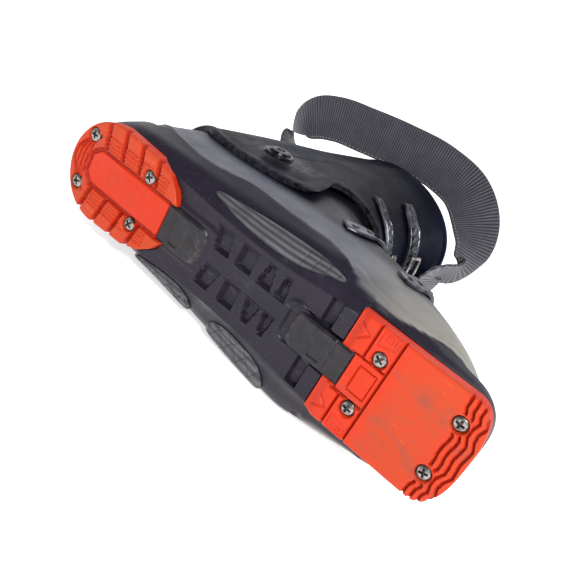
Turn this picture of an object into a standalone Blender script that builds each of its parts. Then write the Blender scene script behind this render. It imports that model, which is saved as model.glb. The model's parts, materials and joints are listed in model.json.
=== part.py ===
"""Alpine ski boot for the left foot, lying on its outer side.

The boot is drawn upright in millimetres: X runs from the back of the heel (0) to the toe,
Z runs up from the plane of the sole, and +Y points to the outer side of the foot. One form,
the outside of the lower shell carried on up the leg, gives every moulded piece its shape: a
piece lies between two offsets of that form. A parent empty lays the boot on its side.
"""
import math

import bmesh
import bpy
import numpy as np
from mathutils import Matrix, Vector

MM = 0.001  # the design is in millimetres and the scene in metres
GAP = 0.3  # air between pieces that touch

# Overall sizes
SOLE_LENGTH = 310.0
BALL_WIDTH = 108.0
SHAFT_DEPTH = 133.0  # back to front of the shaft, outside the lower shell
SHAFT_LEAN = 13.0  # forward lean in degrees
ANKLE_HEIGHT = 120.0  # where the lean begins
CUFF_TOP_BACK = 288.0
CUFF_TOP_FRONT = 262.0
SHELL_RIM = 152.0
LINER_RISE = 18.0  # how far the liner stands above the cuff
TONGUE_RISE = 22.0  # how far the tongue stands above the liner

# Walls and floors
SHELL_WALL = 3.6
SHELL_BASE = 5.0  # the shell's underside above the sole plane
SHELL_FLOOR = 16.0  # the shell's inner floor above the sole plane
CUFF_WALL = 3.6
CUFF_CLEARANCE = 0.6
FLAP_GAP = 0.5  # air between the cuff's two flaps
LINER_WALL = 5.0
LINER_FLOOR = 5.0
TONGUE_WALL = 5.5
INSOLE_THICKNESS = 3.5

# Power strap
STRAP_WIDTH = 42.0
STRAP_THICKNESS = 2.4
STRAP_CLEARANCE = 1.3  # air between the strap and the cuff where it lies on the cuff

# Buckles
BASE_WIDTH = 22.0
BASE_THICKNESS = 2.4
LEVER_WIDTH = 17.0
CATCH_WIDTH = 15.0
CATCH_THICKNESS = 1.8
TOOTH_HEIGHT = 2.6
WIRE_RADIUS = 1.5
WIRE_HALF_SPREAD = 6.0
RIVET_RADIUS = 11.0
RIVET_HEIGHT = 4.4

# Bindings' standard sizes at the sole
SOLE_THICKNESS = 9.0
TOE_LEDGE = 19.0
HEEL_LEDGE = 30.0
TOE_LUG_HALF_WIDTH = 34.5
HEEL_LUG_HALF_WIDTH = 33.0
TOE_LUG_REACH = 10.0  # how far the toe lug stands in front of the toe box
HEEL_LUG_REACH = 8.0
LEDGE_STEP = 0.4  # height of the almost level row of faces on each ledge
HEEL_SOLE_LENGTH = 90.0
TOE_SOLE_LENGTH = 89.0
TREAD_DEPTH = 4.0
SCREW_RADIUS = 4.2
SCREW_HEAD = 2.0

# Half widths at stations along the sole, from heel to toe, for a ball 108 wide
STATIONS = (0.0, 0.2, 0.4, 0.55, 0.65, 0.77, 0.87, 1.0)
NOMINAL_BALL = 108.0
OUTER_SIDE = {
    5: (31, 30, 27, 28, 31, 34.5, 34.5, 34.5),
    9: (33, 32, 31, 36, 42, 40, 36, 34.5),
    14: (34, 36, 40, 47, 51, 47.5, 42, 35),
    25: (35, 40, 49, 54, 57.5, 52.5, 46, 37),
    40: (36, 41, 50, 55, 58, 52.5, 46, 36),
    65: (36, 42, 49, 53, 54, 49, 43, 33),
    100: (38, 43, 47, 48, 48, 44, 38, 30),
    150: (47, 47, 47, 47, 47, 47, 47, 47),
    210: (50, 50, 50, 50, 50, 50, 50, 50),
    270: (54, 54, 54, 54, 54, 54, 54, 54),
    340: (59, 59, 59, 59, 59, 59, 59, 59),
}
INNER_SIDE = {
    5: (31, 29, 25, 25, 28, 33, 34.5, 34.5),
    9: (33, 32, 30, 31, 35, 36, 35, 34.5),
    14: (34, 35, 35, 38, 41, 38.5, 36.5, 34.5),
    25: (35, 38, 41, 44, 45.5, 41.5, 38, 33),
    40: (36, 40, 44, 46, 46.5, 42.5, 38, 32),
    65: (36, 40, 44, 45, 45, 41, 36, 29),
    100: (38, 42, 45, 46, 46, 43, 38, 30),
    150: (46, 46, 46, 46, 46, 46, 46, 46),
    210: (49, 49, 49, 49, 49, 49, 49, 49),
    270: (53, 53, 53, 53, 53, 53, 53, 53),
    340: (58, 58, 58, 58, 58, 58, 58, 58),
}

# Back of the heel: height, distance in front of the sole's back end
HEEL_BACK = ((0, HEEL_LUG_REACH), (30, HEEL_LUG_REACH), (45, 5.5), (62, 4.0), (82, 6.0), (100, 9.5),
             (ANKLE_HEIGHT, 14.5))
# Toe box and instep: height, share of the way from the shaft's front to the toe box's end
INSTEP = ((0, 1.0), (20, 1.0), (32, 1.01), (45, 0.995), (56, 0.93), (64, 0.82), (71, 0.68), (78, 0.53),
          (86, 0.4), (97, 0.285), (112, 0.185), (132, 0.09), (152, 0.03), (172, 0.0))
# Length of the rounded ends of a level cut: height, back end, front end
ROUND_ENDS = ((0, 33, 36), (30, 34, 38), (60, 36, 50), (100, 42, 62), (150, 56, 64), (200, 64, 66),
              (340, 66, 68))

# Resolution of the form
HALF_STEPS = 18
BACK_SHARE = 0.3
FRONT_SHARE = 0.7

# How the boot lies on the floor, in degrees
LAY_TURN = -2.63
LAY_TILT = 2.65


# ---------------------------------------------------------------- the form

def smooth(xs, ys, at):
    """Cubic curve through the points (xs, ys), read at the places given."""
    xs, ys, at = (np.asarray(v, float) for v in (xs, ys, at))
    slopes = np.gradient(ys, xs)
    at = np.clip(at, xs[0], xs[-1])
    i = np.clip(np.searchsorted(xs, at, side="right") - 1, 0, len(xs) - 2)
    step = xs[i + 1] - xs[i]
    t = (at - xs[i]) / step
    return ((2 * t**3 - 3 * t**2 + 1) * ys[i] + (t**3 - 2 * t**2 + t) * step * slopes[i]
            + (3 * t**2 - 2 * t**3) * ys[i + 1] + (t**3 - t**2) * step * slopes[i + 1])


class Form:
    """The outside of the lower shell, carried on up the leg, as offsets can be read from it."""

    TOP = 345.0

    def __init__(self):
        self.z = np.arange(0.0, self.TOP + 0.5, 1.0)
        self.x = np.linspace(0.0, SOLE_LENGTH, 63)
        self.width = {1: self.width_grid(OUTER_SIDE), -1: self.width_grid(INNER_SIDE)}
        back = np.array(HEEL_BACK)
        heel = smooth(back[:, 0], back[:, 1], np.minimum(self.z, ANKLE_HEIGHT))
        lean = np.maximum(self.z - ANKLE_HEIGHT, 0.0) * math.tan(math.radians(SHAFT_LEAN))
        self.back = self.soften(heel + lean)
        share = np.array(INSTEP)
        shaft_front = self.back[-1] + SHAFT_DEPTH
        lean_front = shaft_front - (self.TOP - self.z) * math.tan(math.radians(SHAFT_LEAN))
        toe_end = SOLE_LENGTH - TOE_LUG_REACH
        foot = smooth(share[:, 0], share[:, 1], np.minimum(self.z, share[-1, 0]))
        base = lean_front[int(share[-1, 0])]
        self.front = self.soften(np.where(self.z < share[-1, 0], base + foot * (toe_end - base),
                                          np.maximum(lean_front, base)))
        ends = np.array(ROUND_ENDS, float)
        self.back_end = smooth(ends[:, 0], ends[:, 1], self.z)
        self.front_end = smooth(ends[:, 0], ends[:, 2], self.z)

    def width_grid(self, side):
        """Half widths on a grid of heights and places along the sole."""
        levels = np.array(sorted(side), float)
        rows = np.array([smooth(np.array(STATIONS) * SOLE_LENGTH, side[int(level)], self.x) for level in levels])
        grid = np.array([smooth(levels, rows[:, i], self.z) for i in range(len(self.x))]).T
        lug = np.minimum(grid, TOE_LUG_HALF_WIDTH)
        wide = grid * BALL_WIDTH / NOMINAL_BALL
        blend = np.clip((self.z[:, None] - 5.0) / 9.0, 0.0, 1.0)
        return lug * (1.0 - blend) + wide * blend

    def soften(self, values):
        """Round the joints of a profile a little."""
        kernel = np.ones(9) / 9.0
        padded = np.concatenate([values[:1].repeat(4), values, values[-1:].repeat(4)])
        padded[-4:] = values[-1] + (values[-1] - values[-2]) * np.arange(1, 5)
        return np.convolve(padded, kernel, "valid")

    def half_width(self, side, x, z):
        """Half width of the form at places along the sole and heights (bilinear)."""
        grid = self.width[side]
        fx = np.clip(np.asarray(x, float) / SOLE_LENGTH, 0, 1) * (len(self.x) - 1.001)
        fz = np.clip(np.asarray(z, float), 0, self.TOP - 0.001)
        i, k = fx.astype(int), fz.astype(int)
        u, v = fx - i, fz - k
        return ((grid[k, i] * (1 - u) + grid[k, i + 1] * u) * (1 - v)
                + (grid[k + 1, i] * (1 - u) + grid[k + 1, i + 1] * u) * v)

    def level(self, z, inset):
        """Back, front and the two rounded ends of a level cut, set in by the wall given."""
        back_slope = np.gradient(self.back, self.z)
        front_slope = np.gradient(self.front, self.z)
        back = np.interp(z, self.z, self.back)
        front = np.interp(z, self.z, self.front)
        back_factor = np.sqrt(1 + np.interp(z, self.z, back_slope) ** 2)
        front_factor = np.minimum(np.sqrt(1 + np.interp(z, self.z, front_slope) ** 2), 4.0)
        back = back + inset * back_factor
        front = front - inset * front_factor
        length = front - back
        back_end = np.minimum(np.interp(z, self.z, self.back_end) - inset, 0.48 * length)
        front_end = np.minimum(np.interp(z, self.z, self.front_end) - inset, 0.5 * length)
        return back, front, back_end, front_end

    def surface(self, u, z, inset):
        """Points of the form's offset. u is 0 at the back, 0.25 outside, 0.5 in front, 0.75 inside."""
        u, z, inset = np.broadcast_arrays(*(np.asarray(v, float) for v in (u, z, inset)))
        u = u % 1.0
        outer = u <= 0.5
        h = np.where(outer, 2 * u, 2 * (1 - u))
        back, front, back_end, front_end = self.level(z, inset)
        x, round_off = station(h, back, front, back_end, front_end, 1.0, 0.86)
        width = np.where(outer, self.inset_width(1, x, z, inset), -self.inset_width(-1, x, z, inset))
        return np.stack([x, width * round_off, z], axis=-1)

    def inset_width(self, side, x, z, inset):
        """Half width less the wall, measured square to a flaring side."""
        width = self.half_width(side, x, z)
        flare = (self.half_width(side, x, z + 1.0) - self.half_width(side, x, z - 1.0)) / 2.0
        return width - inset * np.minimum(np.sqrt(1.0 + flare**2), 1.8)

    def side_y(self, side, x, z):
        """Distance of the form's side from the middle plane."""
        back, front, back_end, front_end = self.level(np.asarray(z, float), 0.0)
        from_back = np.clip((x - back) / back_end, 0.0, 1.0)
        from_front = np.clip((front - x) / front_end, 0.0, 1.0)
        rear = np.sqrt(np.maximum(1 - (1 - from_back) ** 2, 0.0))
        fore = np.sqrt(np.maximum(1 - (1 - from_front) ** 2, 0.0)) ** 0.86
        return self.half_width(side, x, z) * rear * fore

    def girth(self, centre, tilt, shift, angles, offset):
        """Points around the form in a tilted plane through the Y axis's direction.

        Args:
            centre: (x, z) of a point inside the form.
            tilt: angle in degrees of the plane's forward direction above level.
            shift: distance of the plane from the centre along its own normal.
            angles: degrees from the forward direction, positive to the outer side.
            offset: distances out from the form.
        """
        forward = np.array([math.cos(math.radians(tilt)), 0.0, math.sin(math.radians(tilt))])
        normal = np.array([-forward[2], 0.0, forward[0]])
        start = np.array([centre[0], 0.0, centre[1]]) + normal * shift
        angles = np.radians(np.asarray(angles, float))
        rays = np.outer(np.cos(angles), forward) + np.outer(np.sin(angles), (0.0, 1.0, 0.0))
        low, high = np.zeros(len(angles)), np.full(len(angles), 230.0)
        for _ in range(34):
            middle = (low + high) / 2
            p = start + rays * middle[:, None]
            limit = np.where(p[:, 1] >= 0, self.side_y(1, p[:, 0], p[:, 2]), self.side_y(-1, p[:, 0], p[:, 2]))
            inside = (np.abs(p[:, 1]) < limit) & (p[:, 2] > SHELL_BASE)
            low, high = np.where(inside, middle, low), np.where(inside, high, middle)
        points = start + rays * low[:, None]
        along = np.gradient(points, angles, axis=0)
        out = np.cross(along, normal)
        out /= np.linalg.norm(out, axis=1)[:, None]
        out *= np.sign(np.sum(out * rays, axis=1))[:, None]
        return points + out * np.asarray(offset, float).reshape(-1, 1)


def station(h, back, front, back_end, front_end, back_power, front_power):
    """Place along a level cut and how far its rounded ends draw the side in, for h from 0 to 1."""
    back_turn = np.clip(h / BACK_SHARE, 0, 1) * math.pi / 2
    front_turn = np.clip((1 - h) / (1 - FRONT_SHARE), 0, 1) * math.pi / 2
    middle = np.clip((h - BACK_SHARE) / (FRONT_SHARE - BACK_SHARE), 0, 1)
    x = np.where(h < BACK_SHARE, back + back_end * (1 - np.cos(back_turn)),
                 np.where(h > FRONT_SHARE, front - front_end * (1 - np.cos(front_turn)),
                          back + back_end + middle * (front - front_end - back - back_end)))
    return x, np.sin(back_turn) ** back_power * np.sin(front_turn) ** front_power


FORM = Form()
U = np.arange(2 * HALF_STEPS) / (2 * HALF_STEPS)


# ---------------------------------------------------------------- building solids

def material(name, rgb, roughness, metallic=0.0):
    """A plain Principled material."""
    made = bpy.data.materials.get(name)
    if made is None:
        made = bpy.data.materials.new(name)
        made.use_nodes = True
        shader = made.node_tree.nodes["Principled BSDF"]
        shader.inputs["Base Color"].default_value = (*rgb, 1.0)
        shader.inputs["Roughness"].default_value = roughness
        shader.inputs["Metallic"].default_value = metallic
    return made


def shell_plastic():
    return material("shell_plastic", (0.045, 0.042, 0.055), 0.38)


def cuff_plastic():
    return material("cuff_plastic", (0.018, 0.018, 0.024), 0.35)


def sole_rubber():
    return material("sole_rubber", (0.80, 0.085, 0.025), 0.55)


def grip_rubber():
    return material("grip_rubber", (0.27, 0.27, 0.22), 0.6)


def black_plastic():
    return material("black_plastic", (0.02, 0.02, 0.022), 0.42)


def liner_foam():
    return material("liner_foam", (0.03, 0.03, 0.034), 0.9)


def insole_felt():
    return material("insole_felt", (0.12, 0.12, 0.13), 0.95)


def steel():
    return material("steel", (0.62, 0.62, 0.63), 0.28, 1.0)


def webbing():
    return material("webbing", (0.03, 0.03, 0.035), 0.85)


def add_object(name, points, faces, look, parent):
    """One closed piece from points in millimetres, its faces turned outwards."""
    mesh = bpy.data.meshes.new(name)
    bm = bmesh.new()
    corners = [bm.verts.new(Vector(p) * MM) for p in points]
    for face in faces:
        bm.faces.new([corners[i] for i in face])
    bmesh.ops.recalc_face_normals(bm, faces=bm.faces)
    bm.to_mesh(mesh)
    bm.free()
    mesh.materials.append(look)
    mesh.shade_smooth()
    mesh.set_sharp_from_angle(angle=math.radians(40))
    made = bpy.data.objects.new(name, mesh)
    bpy.context.collection.objects.link(made)
    made.parent = parent
    return made


def between(name, outside, inside, look, parent, wrap=False, floor=False, keep=None):
    """Fill the space between two grids of points that have the same rows and columns.

    Args:
        outside, inside: grids of points, rows by columns by 3.
        wrap: the last column joins the first.
        floor: the first row of each grid is closed across, and not joined to the other.
        keep: true for each cell that is filled; all of them if it is left out.
    """
    rows, columns = outside.shape[:2]
    cells = columns if wrap else columns - 1
    keep = np.ones((rows - 1, cells), bool) if keep is None else keep
    count = rows * columns
    points = np.concatenate([outside.reshape(-1, 3), inside.reshape(-1, 3)])

    def at(r, c, layer):
        return layer * count + r * columns + c % columns

    faces = []
    edges = {}
    for r in range(rows - 1):
        for c in range(cells):
            if not keep[r, c]:
                continue
            faces.append([at(r, c, 0), at(r, c + 1, 0), at(r + 1, c + 1, 0), at(r + 1, c, 0)])
            faces.append([at(r, c, 1), at(r + 1, c, 1), at(r + 1, c + 1, 1), at(r, c + 1, 1)])
            for a, b in (((r, c), (r, c + 1)), ((r, c + 1), (r + 1, c + 1)),
                         ((r + 1, c + 1), (r + 1, c)), ((r + 1, c), (r, c))):
                key = frozenset(((a[0], a[1] % columns), (b[0], b[1] % columns)))
                edges[key] = None if key in edges else (a, b)
    for pair in edges.values():
        if pair is None or (floor and pair[0][0] == 0 and pair[1][0] == 0):
            continue
        a, b = pair
        faces.append([at(*b, 0), at(*a, 0), at(*a, 1), at(*b, 1)])
    if floor:
        for layer in (0, 1):
            half = columns // 2
            for c in range(half):
                ring = [at(0, c, layer), at(0, c + 1, layer), at(0, columns - c - 1, layer),
                        at(0, columns - c, layer)]
                faces.append(list(dict.fromkeys(ring)))
    used = sorted({i for face in faces for i in face})
    index = {old: new for new, old in enumerate(used)}
    return add_object(name, points[used], [[index[i] for i in face] for face in faces], look, parent)


def prism(name, outline, low, high, look, parent):
    """A level outline (x, y) extruded from one height to another."""
    count = len(outline)
    points = [(x, y, z) for z in (low, high) for x, y in outline]
    faces = [list(range(count)), list(range(count, 2 * count))]
    faces += [[i, (i + 1) % count, (i + 1) % count + count, i + count] for i in range(count)]
    return add_object(name, points, faces, look, parent)


def cut(target, cutters):
    """Cut hidden pieces out of a solid."""
    for cutter in cutters:
        cutter.hide_render = True
        cutter.display_type = "WIRE"
        modifier = target.modifiers.new(cutter.name, "BOOLEAN")
        modifier.object = cutter
        modifier.operation = "DIFFERENCE"
        modifier.solver = "EXACT"


def block_on(name, centre, tilt, width, angles, low, high, look, parent):
    """A block that follows the form around a tilted plane, between two distances out from it."""
    low = np.broadcast_to(np.asarray(low, float), np.shape(angles))
    high = np.broadcast_to(np.asarray(high, float), np.shape(angles))
    edges = (-width / 2, width / 2)
    inside = np.array([FORM.girth(centre, tilt, edge, angles, low) for edge in edges])
    outside = np.array([FORM.girth(centre, tilt, edge, angles, high) for edge in edges])
    return between(name, outside, inside, look, parent)


def side_block(name, side, xs, lows, highs, near, far, look, parent, rows=3):
    """A block on the form's side. xs are its stations, lows and highs its heights at each one."""
    shares = np.linspace(0.0, 1.0, rows)
    z = np.array(lows)[None, :] + shares[:, None] * (np.array(highs) - np.array(lows))[None, :]
    x = np.broadcast_to(np.array(xs, float), z.shape)
    return between(name, side_offset(side, x, z, far), side_offset(side, x, z, near), look, parent)


def side_offset(side, x, z, distance):
    """Points out from the form's side, square to it."""
    step = 1.0
    y = FORM.side_y(side, x, z)
    dx = (FORM.side_y(side, x + step, z) - FORM.side_y(side, x - step, z)) / (2 * step)
    dz = (FORM.side_y(side, x, z + step) - FORM.side_y(side, x, z - step)) / (2 * step)
    length = np.sqrt(1 + dx**2 + dz**2)
    return np.stack([x - dx / length * distance, side * (y + distance / length), z - dz / length * distance],
                    axis=-1)


def turned(name, profile, centre, look, parent, segments=10):
    """A solid of revolution about an upright axis. profile holds (radius, height), bottom to top."""
    turn = 2 * math.pi * np.arange(segments) / segments
    points = [(centre[0] + r * math.cos(a), centre[1] + r * math.sin(a), z) for r, z in profile for a in turn]
    faces = [list(range(segments)), list(range(len(points) - segments, len(points)))]
    for ring in range(len(profile) - 1):
        for i in range(segments):
            a, b = ring * segments + i, ring * segments + (i + 1) % segments
            faces.append([a, b, b + segments, a + segments])
    return add_object(name, points, faces, look, parent)


def slab(name, outline, levels, look, parent):
    """A plate with drafted edges. outline(grow) gives points (x, y); levels hold (height, grow)."""
    rings = [[(x, y, z) for x, y in outline(grow)] for z, grow in levels]
    count = len(rings[0])
    points = [p for ring in rings for p in ring]
    faces = [list(range(count)), list(range(len(points) - count, len(points)))]
    for ring in range(len(levels) - 1):
        for i in range(count):
            a, b = ring * count + i, ring * count + (i + 1) % count
            faces.append([a, b, b + count, a + count])
    return add_object(name, points, faces, look, parent)


def tube(name, points, radius, look, parent, closed=False, resolution=1):
    """A round wire along points in millimetres."""
    curve = bpy.data.curves.new(name, "CURVE")
    curve.dimensions = "3D"
    curve.bevel_depth = radius * MM
    curve.bevel_resolution = resolution
    curve.use_fill_caps = not closed
    spline = curve.splines.new("POLY")
    spline.points.add(len(points) - 1)
    for target, p in zip(spline.points, points):
        target.co = (*(Vector(p) * MM), 1.0)
    spline.use_cyclic_u = closed
    curve.materials.append(look)
    made = bpy.data.objects.new(name, curve)
    bpy.context.collection.objects.link(made)
    made.parent = parent
    return made


# ---------------------------------------------------------------- the pieces

SHELL_ROWS = (24.0, 30.0, 39.0, 48.0, 56.0, 63.0, 70.0, 77.0, 85.0, 95.0, 107.0, 121.0, 136.0)
TOE_START = SOLE_LENGTH - TOE_SOLE_LENGTH
HEEL_TAB_HALF_WIDTH = 12.5
HEEL_TAB_START = HEEL_SOLE_LENGTH - 5.0
HEEL_TAB_LENGTH = 33.0
TOE_TAB_HALF_WIDTH = 11.0
TOE_TAB_END = TOE_START + 9.0
TOE_TAB_LENGTH = 40.0
TAB_FACE = 1.2  # height of the tabs' lower face
POCKET_DEPTH = 2.5
SLOT_START = 90.0  # height where the liner's slot for the tongue begins


def heel_outline(grow):
    """Outline of the heel sole: a half round, then sides that close in."""
    radius = HEEL_LUG_HALF_WIDTH + grow
    end = HEEL_SOLE_LENGTH + grow
    half = [(HEEL_LUG_HALF_WIDTH - radius * math.cos(a), radius * math.sin(a))
            for a in np.linspace(0, math.pi / 2, 9)[1:]]
    half += [(end - 27, radius - 1.5), (end - 14, radius - 5.5), (end - 5, radius - 12), (end, radius - 19)]
    return [(-grow, 0.0)] + half + [(x, -y) for x, y in reversed(half)]


def toe_outline(grow):
    """Outline of the toe sole: straight sides and a shallow front with round corners."""
    half_width = TOE_LUG_HALF_WIDTH + grow
    corner = 18.0
    half = [(TOE_START - grow, half_width)]
    for a in np.radians(np.linspace(90, 0, 9)):
        half.append((SOLE_LENGTH + grow - corner + corner * math.cos(a) ** 0.75, half_width * math.sin(a) ** 0.75))
    return half + [(x, -y) for x, y in reversed(half[:-1])]


def tab_outline(start, end, half_width, round_start, round_end):
    """A strip with rounded corners at one or both ends."""
    corner = half_width * 0.45
    quarter = np.radians(np.linspace(0, 90, 4))
    points = []
    for x, sign, rounded in ((end, 1, round_end), (start, -1, round_start)):
        arc = [(x - sign * corner * (1 - math.cos(a)), half_width - corner * (1 - math.sin(a))) for a in quarter]
        side = arc if rounded else [(x, half_width)]
        upper = [(px, sign * py) for px, py in reversed(side)] if sign > 0 else [(px, -py) for px, py in reversed(side)]
        points += upper + [(px, -py) for px, py in reversed(upper)]
    return points


def build_lower_shell(parent):
    """The hollow lower shell with the two standard ledges and the pockets of its underside."""
    lug = [SHELL_BASE, SOLE_THICKNESS, 14.0, TOE_LEDGE, TOE_LEDGE + LEDGE_STEP]
    upper = sorted(SHELL_ROWS + (HEEL_LEDGE + LEDGE_STEP, SHELL_RIM))
    levels = np.array(lug + upper)
    inner = np.concatenate([np.linspace(SHELL_FLOOR, SHELL_FLOOR + 4.0, len(lug)), upper])
    outside = with_lugs(FORM.surface(U[None, :], levels[:, None], 0.0), levels)
    inside = FORM.surface(U[None, :], inner[:, None], SHELL_WALL)
    shell = between("lower_shell", outside, inside, shell_plastic(), parent, wrap=True, floor=True)
    cut(shell, underside_cutters(parent))
    return shell


def with_lugs(points, levels):
    """Carry the rows below each ledge out to the standard toe and heel outlines."""
    points = points.copy()
    h = np.where(U <= 0.5, 2 * U, 2 * (1 - U))
    sign = np.where(U <= 0.5, 1.0, -1.0)
    for row, z in enumerate(levels):
        back, front, back_end, front_end = FORM.level(z, 0.0)
        toe_x, toe_round = station(h, back, SOLE_LENGTH, back_end, 24.0, 1.0, 0.55)
        heel_x, heel_round = station(h, 0.0, front, HEEL_LUG_HALF_WIDTH, front_end, 1.0, 1.0)
        for side in (1, -1):
            on = sign == side
            if z <= TOE_LEDGE:
                fore = on & (h > FRONT_SHARE)
                points[row, fore, 0] = toe_x[fore]
                wide = np.maximum(FORM.half_width(side, toe_x, z), TOE_LUG_HALF_WIDTH)
                points[row, fore, 1] = (side * wide * toe_round)[fore]
            if z <= HEEL_LEDGE:
                rear = on & (h < BACK_SHARE)
                points[row, rear, 0] = heel_x[rear]
                points[row, rear, 1] = (side * FORM.half_width(side, heel_x, z) * heel_round)[rear]
    return points


def underside_cutters(parent):
    """Seats for the two soles, and the pockets between them."""
    look = shell_plastic()
    high = SOLE_THICKNESS + GAP
    past = BALL_WIDTH
    end = HEEL_SOLE_LENGTH - 27.0
    rim = [p for p in heel_outline(GAP) if p[0] > end]
    seat = [(-20.0, -past), (-20.0, past), (end, past)]
    seat += [p for p in rim if p[1] > 0] + [p for p in rim if p[1] < 0] + [(end, -past)]
    cutters = [prism("seat_heel", seat, -5.0, high, look, parent),
               prism("seat_toe", [(TOE_START - GAP, -past), (TOE_START - GAP, past), (SOLE_LENGTH + 20, past),
                                  (SOLE_LENGTH + 20, -past)], -5.0, high, look, parent)]
    depth = SHELL_BASE + POCKET_DEPTH
    for row, (start, end, slant, taper) in enumerate(((120, 131, 5, 0), (140, 152, 0, 0), (157, 168, 0, 3),
                                                      (171, 179, 0, 2))):
        for side in (1, -1):
            shape = [(start + slant, 6 * side), (end + slant, 6 * side), (end - taper, 19 * side),
                     (start + taper, 19 * side)]
            scaled = [(x * SOLE_LENGTH / 310.0, y) for x, y in shape]
            cutters.append(prism(f"pocket_{row}_{side}", scaled, -5.0, depth, look, parent))
    return cutters


def build_soles(parent):
    """The heel and toe soles with their main tread, and the screws that hold them."""
    heel = slab("heel_sole", heel_outline, ((0.0, -1.6), (1.0, -0.8), (SOLE_THICKNESS, 0.0)), sole_rubber(), parent)
    toe = slab("toe_sole", toe_outline, ((0.0, -1.6), (1.0, -0.8), (SOLE_THICKNESS, 0.0)), sole_rubber(), parent)
    look = sole_rubber()
    heel_cuts = []
    for i, x in enumerate((25.0, 40.0, 55.0, 70.0)):
        for side in (1, -1):
            shape = [(x - 1.3, 13 * side), (x + 1.3, 13 * side), (x - 3.7, 40 * side), (x - 6.3, 40 * side)]
            heel_cuts.append(prism(f"heel_groove_{i}_{side}", shape, -5.0, TREAD_DEPTH, look, parent))
    channel = [(22, -11), (17, -6), (17, 6), (22, 11), (HEEL_SOLE_LENGTH + 9, 11), (HEEL_SOLE_LENGTH + 9, -11)]
    heel_cuts.append(prism("heel_channel", channel, -5.0, 2.2, look, parent))
    notch = HEEL_TAB_HALF_WIDTH + GAP
    heel_cuts.append(prism("heel_notch", [(HEEL_TAB_START - GAP, -notch), (HEEL_TAB_START - GAP, notch),
                                          (HEEL_SOLE_LENGTH + 12, notch), (HEEL_SOLE_LENGTH + 12, -notch)],
                           -6.0, SHELL_BASE, look, parent))
    toe_cuts = []
    notch = TOE_TAB_HALF_WIDTH + GAP
    toe_cuts.append(prism("toe_notch", [(TOE_START - 10, -notch), (TOE_START - 10, notch),
                                        (TOE_TAB_END + GAP, notch), (TOE_TAB_END + GAP, -notch)],
                          -6.0, SHELL_BASE, look, parent))
    for i, x in enumerate((SOLE_LENGTH - 74.0, SOLE_LENGTH - 60.0)):
        for side in (1, -1):
            shape = [(x - 0.8, 12 * side), (x + 0.8, 12 * side), (x + 0.8, 40 * side), (x - 0.8, 40 * side)]
            toe_cuts.append(prism(f"toe_groove_{i}_{side}", shape, -5.0, 2.5, look, parent))
    wave = ((-40, 0.0), (-17, 0.0), (-9, 2.0), (9, 2.0), (17, 0.0), (40, 0.0))
    for i in range(5):
        x = SOLE_LENGTH - 21.5 + 4.0 * i
        near = [(x - 0.8 + bend, y) for y, bend in wave]
        far = [(x + 0.8 + bend, y) for y, bend in reversed(wave)]
        toe_cuts.append(prism(f"tip_groove_{i}", near + far, -5.0, 2.0, look, parent))
    for name, sole, x, y, cuts in screw_places(heel, toe, heel_cuts, toe_cuts):
        for side in (1, -1):
            hole = ((SCREW_RADIUS + GAP, -5.0), (SCREW_RADIUS + GAP, SCREW_HEAD + 1.0 + GAP),
                    (2.0 + GAP, SCREW_HEAD + 1.0 + GAP), (2.0 + GAP, SOLE_THICKNESS + 4.0))
            cuts.append(turned(f"hole_{name}_{side}", hole, (x, side * y), look, parent, 16))
            label = "outer" if side > 0 else "inner"
            profile = ((SCREW_RADIUS - 0.8, 0.9), (SCREW_RADIUS, 1.5), (SCREW_RADIUS, SCREW_HEAD + 1.0),
                       (2.0, SCREW_HEAD + 1.0), (2.0, SOLE_THICKNESS - GAP))
            turned(f"screw_{name}_{label}", profile, (x, side * y), steel(), parent)
    cut(heel, heel_cuts)
    cut(toe, toe_cuts)
    tab = tab_outline(HEEL_TAB_START, HEEL_TAB_START + HEEL_TAB_LENGTH, HEEL_TAB_HALF_WIDTH, False, True)
    prism("heel_tab", tab, TAB_FACE, SHELL_BASE - GAP, black_plastic(), parent)
    tab = tab_outline(TOE_TAB_END - TOE_TAB_LENGTH, TOE_TAB_END, TOE_TAB_HALF_WIDTH, True, False)
    prism("toe_tab", tab, TAB_FACE, SHELL_BASE - GAP, black_plastic(), parent)


def screw_places(heel, toe, heel_cuts, toe_cuts):
    """Name, sole, place and list of cuts of each pair of screws."""
    return (("heel_rear", heel, 11.9, 17.0, heel_cuts), ("heel_front", heel, 63.2, 17.0, heel_cuts),
            ("toe_rear", toe, SOLE_LENGTH - 67.0, 17.2, toe_cuts),
            ("toe_tip", toe, SOLE_LENGTH - 15.1, 17.3, toe_cuts))


def build_cuff(parent):
    """The cuff, a wall wound once round the shaft whose inner-side flap lies over the outer one."""
    s = np.arange(-2, 2 * HALF_STEPS + 3) / (2.0 * HALF_STEPS)
    u = (0.5 - s) % 1.0
    h = np.where(u <= 0.5, 2 * u, 2 * (1 - u))
    bottom = smooth((0, 0.2, 0.43, 0.6, 0.8, 1.0), (96, 86, 64, 88, 130, 146), h)
    top = smooth((0, 0.3, 0.6, 1.0), (CUFF_TOP_BACK, CUFF_TOP_BACK - 12, CUFF_TOP_FRONT + 2, CUFF_TOP_FRONT), h)
    rise = np.clip((s - 0.68) / 0.22, 0.0, 1.0)
    lift = (3 * rise**2 - 2 * rise**3) * (CUFF_WALL + FLAP_GAP)
    z = bottom + np.linspace(0.0, 1.0, 11)[:, None] * (top - bottom)
    outside = FORM.surface(u, z, -(CUFF_CLEARANCE + CUFF_WALL + lift))
    inside = FORM.surface(u, z, -(CUFF_CLEARANCE + lift))
    return between("cuff", outside, inside, cuff_plastic(), parent)


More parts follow.
